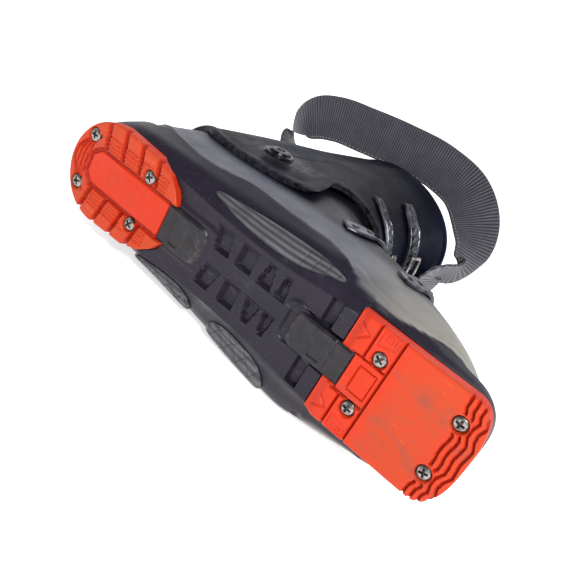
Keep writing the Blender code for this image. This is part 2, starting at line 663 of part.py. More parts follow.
def build_liner(parent):
    """The foam liner: a hollow boot with a slot down its front for the tongue."""
    shaft = list(np.linspace(SHELL_RIM, CUFF_TOP_FRONT + LINER_RISE, 6))
    outer_rows = [SHELL_FLOOR + GAP + 0.2, 19.0] + list(SHELL_ROWS) + shaft
    floor = outer_rows[0] + LINER_FLOOR
    inner_rows = [floor, floor + 1.5, floor + 3.5] + outer_rows[3:]
    h = np.where(U <= 0.5, 2 * U, 2 * (1 - U))
    collar = (CUFF_TOP_BACK - CUFF_TOP_FRONT) * (1 - h) ** 2
    outer_z = raised(outer_rows, collar)
    inner_z = raised(inner_rows, collar)
    outside = FORM.surface(U, outer_z, SHELL_WALL + GAP + 0.2)
    inside = FORM.surface(U, inner_z, SHELL_WALL + GAP + 0.2 + LINER_WALL)
    keep = np.ones((len(outer_rows) - 1, len(U)), bool)
    slot = (h > 0.9) & (np.roll(h, -1) > 0.9)
    first = [i for i, z in enumerate(outer_rows) if z >= SLOT_START][0]
    keep[first:, slot] = False
    return between("liner", outside, inside, liner_foam(), parent, wrap=True, floor=True, keep=keep)


def raised(rows, collar):
    """Rows of heights whose upper ones climb towards the back by the collar's rise."""
    rows = np.array(rows)[:, None]
    share = np.clip((rows - SHELL_RIM) / (CUFF_TOP_FRONT + LINER_RISE - SHELL_RIM), 0.0, 1.0)
    return rows + share * collar[None, :]


def build_tongue(parent):
    """The liner's tongue, a padded shield behind the slot."""
    shaft = np.linspace(SHELL_RIM, CUFF_TOP_FRONT + LINER_RISE + TONGUE_RISE, 7)
    rows = np.concatenate([[z for z in SHELL_ROWS if z > SLOT_START - 8.0], shaft])
    u = U[(U > 0.37) & (U < 0.63)]
    inset = SHELL_WALL + LINER_WALL + 3 * GAP + 0.3
    outside = FORM.surface(u[None, :], rows[:, None], inset)
    inside = FORM.surface(u[None, :], rows[:, None], inset + TONGUE_WALL)
    return between("tongue", outside, inside, liner_foam(), parent)


def build_insole(parent):
    """The insole on the liner's floor."""
    low = SHELL_FLOOR + 2 * GAP + 0.2 + LINER_FLOOR
    levels = np.array([low, low + INSOLE_THICKNESS])
    inset = SHELL_WALL + LINER_WALL + 3 * GAP + 1.5
    ring = FORM.surface(U[None, :], np.full((2, 1), SHELL_FLOOR + 8.0), inset)
    ring[:, :, 2] = levels[:, None]
    points = ring.reshape(-1, 3)
    count = len(U)
    faces = [[i, (i + 1) % count, (i + 1) % count + count, i + count] for i in range(count)]
    for base in (0, count):
        for c in range(HALF_STEPS):
            faces.append(list(dict.fromkeys([base + c, base + c + 1, base + (count - c - 1) % count,
                                             base + (count - c) % count])))
    return add_object("insole", points, faces, insole_felt(), parent)


def build_pads(parent):
    """Grip pads on the flaring sides of the lower shell."""
    length = SOLE_LENGTH / 310.0
    for name, side, start, end, middle, low, high in (
            ("outer_pad_rear", 1, 68, 122, 0.65, 9.5, 21.0),
            ("outer_pad_front", 1, 138, 190, 0.45, 8.0, 21.0),
            ("inner_pad", -1, 104, 202, 0.5, 7.0, 15.5)):
        share = np.linspace(0.0, 1.0, 9)
        peak = np.where(share < middle, share / middle, (1 - share) / (1 - middle))
        swell = 0.22 + 0.78 * np.sin(peak * math.pi / 2) ** 0.8
        centre = (low + high) / 2
        reach = (high - low) / 2 * swell
        xs = (start + share * (end - start)) * length
        side_block(name, side, xs, centre - reach, centre + reach, GAP + 0.5, 2.6, grip_rubber(), parent)


def build_buckles(parent):
    """Four buckles: base plate and lever on the outer side, bail over the front, catch on the inner side."""
    instep = FORM.front[int(SHELL_RIM)]
    reach = SOLE_LENGTH - instep
    on_shell = 1.0
    on_cuff = CUFF_CLEARANCE + CUFF_WALL + 1.2
    on_flap = on_cuff + CUFF_WALL + FLAP_GAP + 0.6
    # name, centre (x, z), tilt, distance out on the outer side and at the catch; lever, base and catch in degrees
    places = (("toe", (instep + 0.32 * reach, 36.0), 62.0, on_shell, on_shell, (34, 58), (54, 72), (-72, -6)),
              ("instep", (instep - 6.0, 62.0), 44.0, on_shell, on_shell, (32, 56), (52, 66), (-80, -6)),
              ("ankle", (shaft_middle(178.0), 178.0), -SHAFT_LEAN, on_cuff, on_flap, (42, 82), (78, 108), (-44, -4)),
              ("calf", (shaft_middle(220.0), 220.0), -SHAFT_LEAN, on_cuff, on_flap, (42, 82), (78, 108), (-44, -4)))
    for name, centre, tilt, near, over, lever, base, ladder in places:
        block_on(f"buckle_{name}_base", centre, tilt, BASE_WIDTH, np.linspace(*base, 6), near,
                 near + BASE_THICKNESS, steel(), parent)
        spread = np.linspace(*lever, 9)
        seat = near + BASE_THICKNESS + 0.4
        lift = np.interp(spread, (lever[0], lever[0] + 8, lever[1] - 8, lever[1]), (5.0, 6.0, 4.5, 3.0))
        block_on(f"buckle_{name}_lever", centre, tilt, LEVER_WIDTH, spread, seat, seat + lift,
                 black_plastic(), parent)
        catch = np.linspace(*ladder, 17)
        teeth = np.where((np.arange(17) % 3 == 1) & (np.arange(17) > 6), TOOTH_HEIGHT, 0.0)
        block_on(f"buckle_{name}_catch", centre, tilt, CATCH_WIDTH, catch, over,
                 over + CATCH_THICKNESS + teeth, steel(), parent)
        clear = over + CATCH_THICKNESS + TOOTH_HEIGHT + WIRE_RADIUS + GAP
        build_bail(f"buckle_{name}_bail", centre, tilt, lever[0] - 3.0, -12.0, near + 6.0, clear, parent)


def shaft_middle(height):
    """Middle of the shaft at a height."""
    return (FORM.back[int(height)] + FORM.front[int(height)]) / 2.0


def build_bail(name, centre, tilt, start, end, near, over, parent):
    """A closed wire loop from the lever over the front to the catch."""
    angles = np.linspace(start, end, 11)
    away = np.interp(angles, (end, 25.0, start), (over, over, near))
    sides = [FORM.girth(centre, tilt, shift, angles, away) for shift in (WIRE_HALF_SPREAD, -WIRE_HALF_SPREAD)]
    tube(name, list(sides[0]) + list(sides[1][::-1]), WIRE_RADIUS, steel(), parent, closed=True)


def build_rivets(parent):
    """The two rivets the cuff turns on."""
    centre_x, centre_z = 90.0, 88.0
    turn = 2 * math.pi * np.arange(16) / 16
    reach = np.array([3.0, RIVET_RADIUS])[:, None]
    x = centre_x + reach * np.cos(turn)
    z = centre_z + reach * np.sin(turn)
    for side, label in ((1, "outer"), (-1, "inner")):
        start = CUFF_CLEARANCE + CUFF_WALL + (CUFF_WALL + FLAP_GAP if side < 0 else 0.0) + 0.8
        between(f"cuff_rivet_{label}", side_offset(side, x, z, start + RIVET_HEIGHT),
                side_offset(side, x, z, start), steel(), parent, wrap=True)


def build_power_strap(parent):
    """The strap of the cuff's top: fixed behind, loose in a loop on the inner side, closed over the front."""
    top = CUFF_TOP_FRONT
    centre = (shaft_middle(top), top)
    back = centre[0] - SHAFT_DEPTH / 2
    reach = SHAFT_DEPTH
    half = float(FORM.half_width(-1, centre[0], top))
    on_cuff = CUFF_CLEARANCE + CUFF_WALL + STRAP_CLEARANCE + STRAP_THICKNESS / 2
    on_flap = on_cuff + CUFF_WALL + FLAP_GAP
    behind = FORM.girth(centre, -SHAFT_LEAN, 0.0, (110, 119, 128, 137), (on_cuff, on_cuff, on_cuff + 0.6, on_cuff + 2.4))
    front = FORM.girth(centre, -SHAFT_LEAN, 0.0, (-3, 8, 18, 30, 42, 56, 70),
                       (on_flap + 4, on_flap + 1.8, on_flap + 0.6, on_flap, on_flap, on_flap - 2.2, on_cuff + 0.8))
    # the free loop: x, y, z and how far the strap is turned flat, from 0 (on edge) to 1 (lying level)
    loop = ((back + 1, 31, top + 1, 0.0), (back - 14, 14, top + 4, 0.0), (back - 31, -2, top + 9, 0.0),
            (back - 47, -14, top + 15, 0.08), (back - 58, -24, top + 20, 0.35),
            (back - 56, -38, top + 23, 0.75), (back - 44, -half + 1, top + 25, 1.0),
            (back - 24, -half - 8, top + 25, 1.0), (back + 6, -half - 14, top + 25, 1.0),
            (back + 45, -half - 20, top + 25, 1.0), (back + 90, -half - 23, top + 24, 1.0),
            (back + reach - 14, -half - 18, top + 21, 0.85), (back + reach + 12, -half + 2, top + 15, 0.5),
            (back + reach + 22, -half + 21, top + 8, 0.2), (back + reach + 22, -half + 37, top + 3, 0.04))
    route = np.concatenate([np.pad(behind, ((0, 0), (0, 1))), loop, np.pad(front, ((0, 0), (0, 1)))])
    length = np.concatenate([[0.0], np.cumsum(np.linalg.norm(np.diff(route[:, :3], axis=0), axis=1))])
    at = np.linspace(0.0, length[-1], 56)
    path = np.stack([smooth(length, route[:, i], at) for i in range(4)], axis=-1)
    ribbon("power_strap", path[:, :3], np.clip(path[:, 3], 0, 1) * math.pi / 2, STRAP_WIDTH, STRAP_THICKNESS,
           webbing(), parent)


def ribbon(name, points, turns, width, thickness, look, parent):
    """A flat strap along points, whose width leans over from the shaft's axis by the turns given."""
    lean = math.radians(SHAFT_LEAN)
    axis = np.array([math.sin(lean), 0.0, math.cos(lean)])
    along = np.gradient(points, axis=0)
    along /= np.linalg.norm(along, axis=1)[:, None]
    upright = axis - np.sum(along * axis, axis=1)[:, None] * along
    upright /= np.linalg.norm(upright, axis=1)[:, None]
    level = np.cross(along, upright)
    across = np.cos(turns)[:, None] * upright + np.sin(turns)[:, None] * level
    out = np.cross(along, across)
    rows = (-width / 2, width / 2)
    upper = np.array([points + across * r + out * thickness / 2 for r in rows])
    lower = np.array([points + across * r - out * thickness / 2 for r in rows])
    return between(name, upper, lower, look, parent)


def lay_down(root):
    """Lay the boot on its outer side with the middle of its bounds over the origin."""
    turn = (Matrix.Rotation(math.radians(LAY_TILT), 4, "X") @ Matrix.Rotation(math.radians(LAY_TURN), 4, "Y")
            @ Matrix.Rotation(-math.pi / 2, 4, "X"))
    root.matrix_world = turn
    bpy.context.view_layer.update()
    graph = bpy.context.evaluated_depsgraph_get()
    corners = []
    for made in root.children:
        if made.hide_render:
            continue
        shape = made.evaluated_get(graph).to_mesh()
        corners.append(np.array([made.matrix_world @ v.co for v in shape.vertices]))
    corners = np.concatenate(corners)
    low, high = corners.min(axis=0), corners.max(axis=0)
    shift = Vector((-(low[0] + high[0]) / 2, -(low[1] + high[1]) / 2, -low[2]))
    root.matrix_world = Matrix.Translation(shift) @ root.matrix_world


def main():
    """Build the boot."""
    for old in list(bpy.data.objects):
        bpy.data.objects.remove(old, do_unlink=True)
    root = bpy.data.objects.new("boot", None)
    bpy.context.collection.objects.link(root)
    build_lower_shell(root)
    build_soles(root)
    build_liner(root)
    build_tongue(root)
    build_insole(root)
    build_cuff(root)
    build_pads(root)
    build_rivets(root)
    build_buckles(root)
    build_power_strap(root)
    lay_down(root)


main()
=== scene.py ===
"""Looks of a left alpine ski boot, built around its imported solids.

The boot is drawn upright in millimetres: X runs from the back of the heel (0) to the toe, Z runs
up from the plane of the sole, and +Y points to the outer side of the foot. BootAxes turns that
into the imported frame, in which the boot lies on its outer side.
"""

import json
import logging
import math
from dataclasses import dataclass
from enum import Enum
from typing import Any, Callable, Dict, List, Optional, Sequence, Tuple

import bmesh
import bpy
import numpy as np
from mathutils import Matrix, Vector


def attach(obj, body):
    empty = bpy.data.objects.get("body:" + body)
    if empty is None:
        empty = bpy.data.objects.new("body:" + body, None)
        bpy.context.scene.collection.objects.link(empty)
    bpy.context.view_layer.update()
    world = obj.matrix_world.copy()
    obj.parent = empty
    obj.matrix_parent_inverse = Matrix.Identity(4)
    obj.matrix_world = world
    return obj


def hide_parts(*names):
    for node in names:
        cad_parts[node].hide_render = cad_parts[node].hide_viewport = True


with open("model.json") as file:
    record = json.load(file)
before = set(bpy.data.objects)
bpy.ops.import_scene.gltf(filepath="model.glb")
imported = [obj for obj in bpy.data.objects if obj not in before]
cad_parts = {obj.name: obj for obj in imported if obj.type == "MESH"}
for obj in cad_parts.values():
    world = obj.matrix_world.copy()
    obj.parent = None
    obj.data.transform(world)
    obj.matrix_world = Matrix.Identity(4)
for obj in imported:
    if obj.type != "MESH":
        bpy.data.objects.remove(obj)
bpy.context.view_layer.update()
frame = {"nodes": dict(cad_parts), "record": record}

logging.basicConfig(level=logging.INFO, format="%(message)s")
LOG = logging.getLogger("ski_boot")

Array = np.ndarray
MM = 0.001

# ---- sizes of the boot, in mm

SOLE_LENGTH = 310.0
SHAFT_DEPTH = 133.0
SHAFT_LEAN = 13.0
ANKLE_HEIGHT = 120.0
CUFF_TOP_BACK = 288.0
CUFF_TOP_FRONT = 262.0
SHELL_RIM = 152.0
LINER_RISE = 18.0
TONGUE_RISE = 22.0
SHELL_WALL = 3.6
SHELL_BASE = 5.0
SHELL_FLOOR = 16.0
CUFF_WALL = 3.6
CUFF_CLEARANCE = 0.6
FLAP_GAP = 0.5
LINER_WALL = 5.0
STRAP_WIDTH = 42.0
STRAP_THICKNESS = 2.4
SOLE_THICKNESS = 9.0
TOE_LEDGE = 19.0
HEEL_LEDGE = 30.0
TOE_HALF = 34.5
HEEL_HALF = 33.0
HEEL_SOLE = 90.0
TOE_START = 221.0
SEAT = 9.3  # height of the seats that the two soles sit in
RIVET_X, RIVET_Z = 90.0, 88.0
LINER_TOP = 277.0

STATIONS = (0.0, 0.2, 0.4, 0.55, 0.65, 0.77, 0.87, 1.0)
OUTER_SIDE = {
    5: (31, 30, 27, 28, 31, 34.5, 34.5, 34.5), 9: (33, 32, 31, 36, 42, 40, 36, 34.5),
    14: (34, 36, 40, 47, 51, 47.5, 42, 35), 25: (35, 40, 49, 54, 57.5, 52.5, 46, 37),
    40: (36, 41, 50, 55, 58, 52.5, 46, 36), 65: (36, 42, 49, 53, 54, 49, 43, 33),
    100: (38, 43, 47, 48, 48, 44, 38, 30), 150: (47,) * 8, 210: (50,) * 8, 270: (54,) * 8,
    340: (59,) * 8,
}
INNER_SIDE = {
    5: (31, 29, 25, 25, 28, 33, 34.5, 34.5), 9: (33, 32, 30, 31, 35, 36, 35, 34.5),
    14: (34, 35, 35, 38, 41, 38.5, 36.5, 34.5), 25: (35, 38, 41, 44, 45.5, 41.5, 38, 33),
    40: (36, 40, 44, 46, 46.5, 42.5, 38, 32), 65: (36, 40, 44, 45, 45, 41, 36, 29),
    100: (38, 42, 45, 46, 46, 43, 38, 30), 150: (46,) * 8, 210: (49,) * 8, 270: (53,) * 8,
    340: (58,) * 8,
}
HEEL_BACK = ((0, 8), (30, 8), (45, 5.5), (62, 4), (82, 6), (100, 9.5), (ANKLE_HEIGHT, 14.5))
INSTEP = ((0, 1.0), (20, 1.0), (32, 1.01), (45, 0.995), (56, 0.93), (64, 0.82), (71, 0.68), (78, 0.53),
          (86, 0.4), (97, 0.285), (112, 0.185), (132, 0.09), (152, 0.03), (172, 0.0))
ROUND_ENDS = ((0, 33, 36), (30, 34, 38), (60, 36, 50), (100, 42, 62), (150, 56, 64), (200, 64, 66),
              (340, 66, 68))
BACK_SHARE = 0.3
FRONT_SHARE = 0.7
SCREWS = {"heel_rear": (11.9, 17.0), "heel_front": (63.2, 17.0), "toe_rear": (243.0, 17.2),
          "toe_tip": (294.9, 17.3)}


# ---- curves and the form

def smooth(xs: Any, ys: Any, at: Any) -> Array:
    """Cubic Hermite curve through (xs, ys) with central slopes, read at the places given."""
    xs, ys, at = (np.asarray(v, float) for v in (xs, ys, at))
    slopes = np.gradient(ys, xs)
    at = np.clip(at, xs[0], xs[-1])
    i = np.clip(np.searchsorted(xs, at, side="right") - 1, 0, len(xs) - 2)
    step = xs[i + 1] - xs[i]
    t = (at - xs[i]) / step
    return ((2 * t**3 - 3 * t**2 + 1) * ys[i] + (t**3 - 2 * t**2 + t) * step * slopes[i]
            + (3 * t**2 - 2 * t**3) * ys[i + 1] + (t**3 - t**2) * step * slopes[i + 1])


def ease(value: Array, low: float, high: float) -> Array:
    """Smooth step: 0 below low, 1 above high, 3t^2 - 2t^3 between them."""
    t = np.clip((np.asarray(value, float) - low) / (high - low), 0.0, 1.0)
    return t * t * (3 - 2 * t)


def station(h: Array, back: Array, front: Array, back_end: Array, front_end: Array,
            back_power: float, front_power: float) -> Tuple[Array, Array]:
    """Place along a level cut, and how far its rounded ends draw the side in, for h from 0 to 1."""
    back_turn = np.clip(h / BACK_SHARE, 0, 1) * math.pi / 2
    front_turn = np.clip((1 - h) / (1 - FRONT_SHARE), 0, 1) * math.pi / 2
    middle = np.clip((h - BACK_SHARE) / (FRONT_SHARE - BACK_SHARE), 0, 1)
    x = np.where(h < BACK_SHARE, back + back_end * (1 - np.cos(back_turn)),
                 np.where(h > FRONT_SHARE, front - front_end * (1 - np.cos(front_turn)),
                          back + back_end + middle * (front - front_end - back - back_end)))
    return x, np.sin(back_turn) ** back_power * np.sin(front_turn) ** front_power


class Form:
    """The outside of the lower shell, carried on up the leg; every moulded piece is an offset of it."""

    TOP = 345.0

    def __init__(self) -> None:
        """Work out the profile and the widths on a grid 1 mm apart in height."""
        self.z = np.arange(0.0, self.TOP + 0.5, 1.0)
        self.x = np.linspace(0.0, SOLE_LENGTH, 63)
        self.width = {1: self.width_grid(OUTER_SIDE), -1: self.width_grid(INNER_SIDE)}
        tangent = math.tan(math.radians(SHAFT_LEAN))
        back = np.array(HEEL_BACK, float)
        heel = smooth(back[:, 0], back[:, 1], np.minimum(self.z, ANKLE_HEIGHT))
        self.back = self.soften(heel + np.maximum(self.z - ANKLE_HEIGHT, 0.0) * tangent)
        share = np.array(INSTEP)
        lean_front = self.back[-1] + SHAFT_DEPTH - (self.TOP - self.z) * tangent
        foot = smooth(share[:, 0], share[:, 1], np.minimum(self.z, share[-1, 0]))
        base = lean_front[int(share[-1, 0])]
        self.front = self.soften(np.where(self.z < share[-1, 0], base + foot * (300.0 - base),
                                          np.maximum(lean_front, base)))
        ends = np.array(ROUND_ENDS, float)
        self.back_end = smooth(ends[:, 0], ends[:, 1], self.z)
        self.front_end = smooth(ends[:, 0], ends[:, 2], self.z)

    def width_grid(self, side: Dict[int, Sequence[float]]) -> Array:
        """Half widths by height and place along the sole."""
        levels = np.array(sorted(side), float)
        rows = np.array([smooth(np.array(STATIONS) * SOLE_LENGTH, side[int(v)], self.x) for v in levels])
        grid = np.array([smooth(levels, rows[:, i], self.z) for i in range(len(self.x))]).T
        blend = np.clip((self.z[:, None] - 5.0) / 9.0, 0.0, 1.0)
        return np.minimum(grid, TOE_HALF) * (1.0 - blend) + grid * blend

    def soften(self, values: Array) -> Array:
        """Running mean over 9 mm that keeps the end slope."""
        padded = np.concatenate([values[:1].repeat(4), values, values[-1:].repeat(4)])
        padded[-4:] = values[-1] + (values[-1] - values[-2]) * np.arange(1, 5)
        return np.convolve(padded, np.ones(9) / 9.0, "valid")

    def half_width(self, side: int, x: Any, z: Any) -> Array:
        """Half width at places and heights, bilinear in the grid."""
        grid = self.width[side]
        fx = np.clip(np.asarray(x, float) / SOLE_LENGTH, 0, 1) * (len(self.x) - 1.001)
        fz = np.clip(np.asarray(z, float), 0, self.TOP - 0.001)
        i, k = fx.astype(int), fz.astype(int)
        u, v = fx - i, fz - k
        return ((grid[k, i] * (1 - u) + grid[k, i + 1] * u) * (1 - v)
                + (grid[k + 1, i] * (1 - u) + grid[k + 1, i + 1] * u) * v)

    def level(self, z: Array, inset: Any) -> Tuple[Array, Array, Array, Array]:
        """Back, front and both rounded ends of a level cut, set in by the wall given."""
        back = np.interp(z, self.z, self.back)
        front = np.interp(z, self.z, self.front)
        back_slope = np.interp(z, self.z, np.gradient(self.back, self.z))
        front_slope = np.interp(z, self.z, np.gradient(self.front, self.z))
        back = back + inset * np.sqrt(1 + back_slope**2)
        front = front - inset * np.minimum(np.sqrt(1 + front_slope**2), 4.0)
        length = front - back
        return (back, front, np.minimum(np.interp(z, self.z, self.back_end) - inset, 0.48 * length),
                np.minimum(np.interp(z, self.z, self.front_end) - inset, 0.5 * length))

    def surface(self, u: Any, z: Any, inset: Any) -> Array:
        """Points of an offset of the form.

        Args:
            u: place round a level cut: 0 behind, 0.25 outer side, 0.5 in front, 0.75 inner side.
            z: height.
            inset: distance inwards, negative for outwards.

        Returns:
            Points (..., 3).
        """
        u, z, inset = np.broadcast_arrays(*(np.asarray(v, float) for v in (u, z, inset)))
        u = u % 1.0
        outer = u <= 0.5
        h = np.where(outer, 2 * u, 2 * (1 - u))
        x, round_off = station(h, *self.level(z, inset), 1.0, 0.86)
        width = np.where(outer, self.inset_width(1, x, z, inset), -self.inset_width(-1, x, z, inset))
        return np.stack([x, width * round_off, z], axis=-1)

    def inset_width(self, side: int, x: Array, z: Array, inset: Array) -> Array:
        """Half width less the wall, measured square to a flaring side."""
        flare = (self.half_width(side, x, z + 1.0) - self.half_width(side, x, z - 1.0)) / 2.0
        return self.half_width(side, x, z) - inset * np.minimum(np.sqrt(1.0 + flare**2), 1.8)

    def side_y(self, side: int, x: Array, z: Array) -> Array:
        """Distance of the form's side from the middle plane."""
        back, front, back_end, front_end = self.level(np.asarray(z, float), 0.0)
        from_back = np.clip((x - back) / back_end, 0.0, 1.0)
        from_front = np.clip((front - x) / front_end, 0.0, 1.0)
        rear = np.sqrt(np.maximum(1 - (1 - from_back) ** 2, 0.0))
        fore = np.sqrt(np.maximum(1 - (1 - from_front) ** 2, 0.0)) ** 0.86
        return self.half_width(side, x, z) * rear * fore

    def girth(self, centre: Tuple[float, float], tilt: float, shifts: Any, angles: Any,
              offset: Any) -> Array:
        """Points around the form in planes side by side, found by halving along rays.

        Args:
            centre: (x, z) inside the form.
            tilt: degrees of the planes' forward direction above level.
            shifts: places of the planes along their normal, at least two.
            angles: degrees from the forward direction, positive to the outer side.
            offset: distances out from the form, shifts by angles.

        Returns:
            Points, shifts by angles by 3.
        """
        forward = np.array([math.cos(math.radians(tilt)), 0.0, math.sin(math.radians(tilt))])
        normal = np.array([-forward[2], 0.0, forward[0]])
        shifts = np.asarray(shifts, float)
        turn = np.radians(np.asarray(angles, float))
        start = np.array([centre[0], 0.0, centre[1]]) + shifts[:, None, None] * normal
        rays = (np.outer(np.cos(turn), forward) + np.outer(np.sin(turn), (0.0, 1.0, 0.0)))[None]
        low = np.zeros((len(shifts), len(turn)))
        high = np.full(low.shape, 230.0)
        for _ in range(30):
            middle = (low + high) / 2
            p = start + rays * middle[..., None]
            limit = np.where(p[..., 1] >= 0, self.side_y(1, p[..., 0], p[..., 2]),
                             self.side_y(-1, p[..., 0], p[..., 2]))
            inside = (np.abs(p[..., 1]) < limit) & (p[..., 2] > SHELL_BASE)
            low, high = np.where(inside, middle, low), np.where(inside, high, middle)
        points = start + rays * low[..., None]
        along = np.gradient(points, axis=1)
        aside = np.gradient(points, axis=0)
        out = np.cross(along, aside)
        out /= np.linalg.norm(out, axis=-1, keepdims=True)
        out *= np.sign(np.sum(out * rays, axis=-1, keepdims=True))
        return points + out * np.broadcast_to(np.asarray(offset, float), low.shape)[..., None]

    def beside(self, side: int, x: Array, z: Array, distance: Any) -> Array:
        """Points out from the form's side, square to it."""
        y = self.side_y(side, x, z)
        dx = (self.side_y(side, x + 1, z) - self.side_y(side, x - 1, z)) / 2
        dz = (self.side_y(side, x, z + 1) - self.side_y(side, x, z - 1)) / 2
        length = np.sqrt(1 + dx**2 + dz**2)
        return np.stack([x - dx / length * distance, side * (y + distance / length),
                         z - dz / length * distance], axis=-1)

    def middle(self, height: float) -> float:
        """Middle of the shaft at a height."""
        return (self.back[int(height)] + self.front[int(height)]) / 2.0


FORM = Form()


class BootAxes:
    """The upright boot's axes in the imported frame, from the two faces of its sole."""

    TOE = np.array([266.0, 0.0, 0.0])
    HEEL = np.array([46.5, 22.0, 0.0])

    def __init__(self, mounts: List[Dict[str, Any]]) -> None:
        """Solve the turn that takes the two design points to the two mounts."""
        by_name = {m["name"]: m for m in mounts}
        toe = np.array(by_name["toe_sole_face"]["pos_m"])
        heel = np.array(by_name["heel_sole_face"]["pos_m"])
        up = -np.array(by_name["toe_sole_face"]["axis"], float)
        up /= np.linalg.norm(up)
        run = toe - heel
        run /= np.linalg.norm(run)
        aside = np.cross(up, run)
        gap = self.TOE - self.HEEL
        size = math.hypot(gap[0], gap[1])
        ahead = (gap[0] * run - gap[1] * aside) / size
        self.turn = np.stack([ahead, np.cross(up, ahead), up], axis=1)
        self.origin = toe - self.turn @ (self.TOE * MM)

    def place(self, points: Array) -> Array:
        """Packed-frame places in metres of points in millimetres."""
        return (np.asarray(points, float) * MM) @ self.turn.T + self.origin

    def direction(self, vector: Sequence[float]) -> Array:
        """Packed-frame direction of one in the boot's axes."""
        return self.turn @ np.asarray(vector, float)


AXES = BootAxes(frame["record"]["mounts"])


# ---- meshes

class Slot(str, Enum):
    """The record's material slots."""

    SHELL = "shell_plastic"
    CUFF = "cuff_plastic"
    SOLE = "sole_rubber"
    GRIP = "grip_rubber"
    BLACK = "black_plastic"
    LINER = "liner_foam"
    FELT = "insole_felt"
    STEEL = "steel"
    WEBBING = "webbing"


@dataclass
class Sheet:
    """A grid of points that becomes part of a mesh.

    Attributes:
        points: rows by columns by 3, in millimetres.
        wrap: the last column joins the first.
        marks: named values, one for each point, that the finish reads.
        uv: two lengths in millimetres for each point.
    """

    points: Array
    wrap: bool = False
    marks: Optional[Dict[str, Array]] = None
    uv: Optional[Array] = None

    def quads(self) -> Array:
        """Corners of the cells, four indices each."""
        rows, columns = self.points.shape[:2]
        last = columns if self.wrap else columns - 1
        r, c = np.meshgrid(np.arange(rows - 1), np.arange(last), indexing="ij")
        n = (c + 1) % columns
        return np.stack([r * columns + c, r * columns + n, (r + 1) * columns + n,
                         (r + 1) * columns + c], axis=-1).reshape(-1, 4)


def make_piece(name: str, sheets: Sequence[Sheet], finish: bpy.types.Material,
               stands_for: Sequence[str] = (), sharp: float = 32.0, merge: float = 0.012,
               polygons: Sequence[Sequence[int]] = ()) -> bpy.types.Object:
    """One object from sheets whose matching borders are merged.

    Args:
        name: the piece's name.
        sheets: its grids.
        finish: its material.
        stands_for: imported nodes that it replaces.
        sharp: angle in degrees above which an edge is kept sharp.
        merge: distance in millimetres under which points are joined.
        polygons: extra faces, as indices into the sheets' points.

    Returns:
        The object, riding on the root body.
    """
    points = np.concatenate([s.points.reshape(-1, 3) for s in sheets])
    starts = np.cumsum([0] + [s.points.reshape(-1, 3).shape[0] for s in sheets])
    faces = np.concatenate([s.quads() + start for s, start in zip(sheets, starts)])
    mesh = bpy.data.meshes.new(name)
    placed = AXES.place(points)
    placed[:, 2] = np.maximum(placed[:, 2], 0.0)  # nothing dips into the floor it rests on
    mesh.from_pydata(placed, [], faces.tolist() + [list(p) for p in polygons])
    marks = sorted({key for s in sheets for key in (s.marks or {})})
    for key in marks:
        values = np.concatenate([np.broadcast_to((s.marks or {}).get(key, 0.0), s.points.shape[:2]).ravel()
                                 for s in sheets])
        layer = mesh.attributes.new(key, "FLOAT", "POINT")
        layer.data.foreach_set("value", values.astype(np.float32))
    if any(s.uv is not None for s in sheets):
        uv = np.concatenate([(s.points[..., :2] if s.uv is None else s.uv).reshape(-1, 2)
                             for s in sheets])
        corner = np.empty(len(mesh.loops), np.int32)
        mesh.loops.foreach_get("vertex_index", corner)
        lengths = (uv[corner] * MM).astype(np.float32)
        mesh.uv_layers.new(name="UVMap").data.foreach_set("uv", lengths.ravel())
    work = bmesh.new()
    work.from_mesh(mesh)
    bmesh.ops.remove_doubles(work, verts=work.verts, dist=merge * MM)
    bmesh.ops.dissolve_degenerate(work, edges=work.edges, dist=merge * MM * 0.2)
    bmesh.ops.recalc_face_normals(work, faces=work.faces)
    work.to_mesh(mesh)
    work.free()
    mesh.materials.append(finish)
    mesh.shade_smooth()
    mesh.set_sharp_from_angle(angle=math.radians(sharp))
    made = bpy.data.objects.new(name, mesh)
    bpy.context.collection.objects.link(made)
    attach(made, "root")
    if stands_for:
        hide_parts(*stands_for)
    LOG.info("%s: %d faces", name, len(mesh.polygons))
    return made


def closed_pair(top: Array, under: Array, marks: Optional[Dict[str, Array]] = None,
                uv: Optional[Array] = None, wrap: bool = False) -> List[Sheet]:
    """Two facing grids and the walls that join their borders."""
    sheets = [Sheet(top, wrap, marks, uv), Sheet(under, wrap, marks, uv)]
    borders = [(0, slice(None)), (-1, slice(None))]
    if not wrap:
        borders += [(slice(None), 0), (slice(None), -1)]
    for border in borders:
        sheets.append(Sheet(np.stack([top[border], under[border]]), wrap,
                            {k: np.stack([np.broadcast_to(v, top.shape[:2])[border]] * 2)
                             for k, v in (marks or {}).items()},
                            None if uv is None else np.stack([uv[border]] * 2)))
    return sheets


def tube(points: Array, radius: Any, sides: int = 14, closed: bool = False) -> List[Sheet]:
    """A round wire along points, its ring turned by the smallest step from one point to the next."""
    along = np.gradient(points, axis=0)
    if closed:
        along = np.roll(points, -1, axis=0) - np.roll(points, 1, axis=0)
    along /= np.linalg.norm(along, axis=1, keepdims=True)
    first = np.cross(along[0], (0.3, 0.5, 0.8))
    normals = [first / np.linalg.norm(first)]
    for direction in along[1:]:
        step = normals[-1] - direction * np.dot(normals[-1], direction)
        normals.append(step / np.linalg.norm(step))
    normal = np.array(normals)
    other = np.cross(along, normal)
    turn = 2 * math.pi * np.arange(sides) / sides
    size = np.broadcast_to(np.asarray(radius, float), (len(points),))[:, None, None]
    ring = (points[:, None] + size * (np.cos(turn)[None, :, None] * normal[:, None]
                                      + np.sin(turn)[None, :, None] * other[:, None]))
    if closed:
        return [Sheet(np.concatenate([ring, ring[:1]]), True)]
    caps = [np.stack([ring[end], np.broadcast_to(points[end], ring[end].shape)]) for end in (0, -1)]
    return [Sheet(ring, True)] + [Sheet(cap, True) for cap in caps]


# ---- finishes

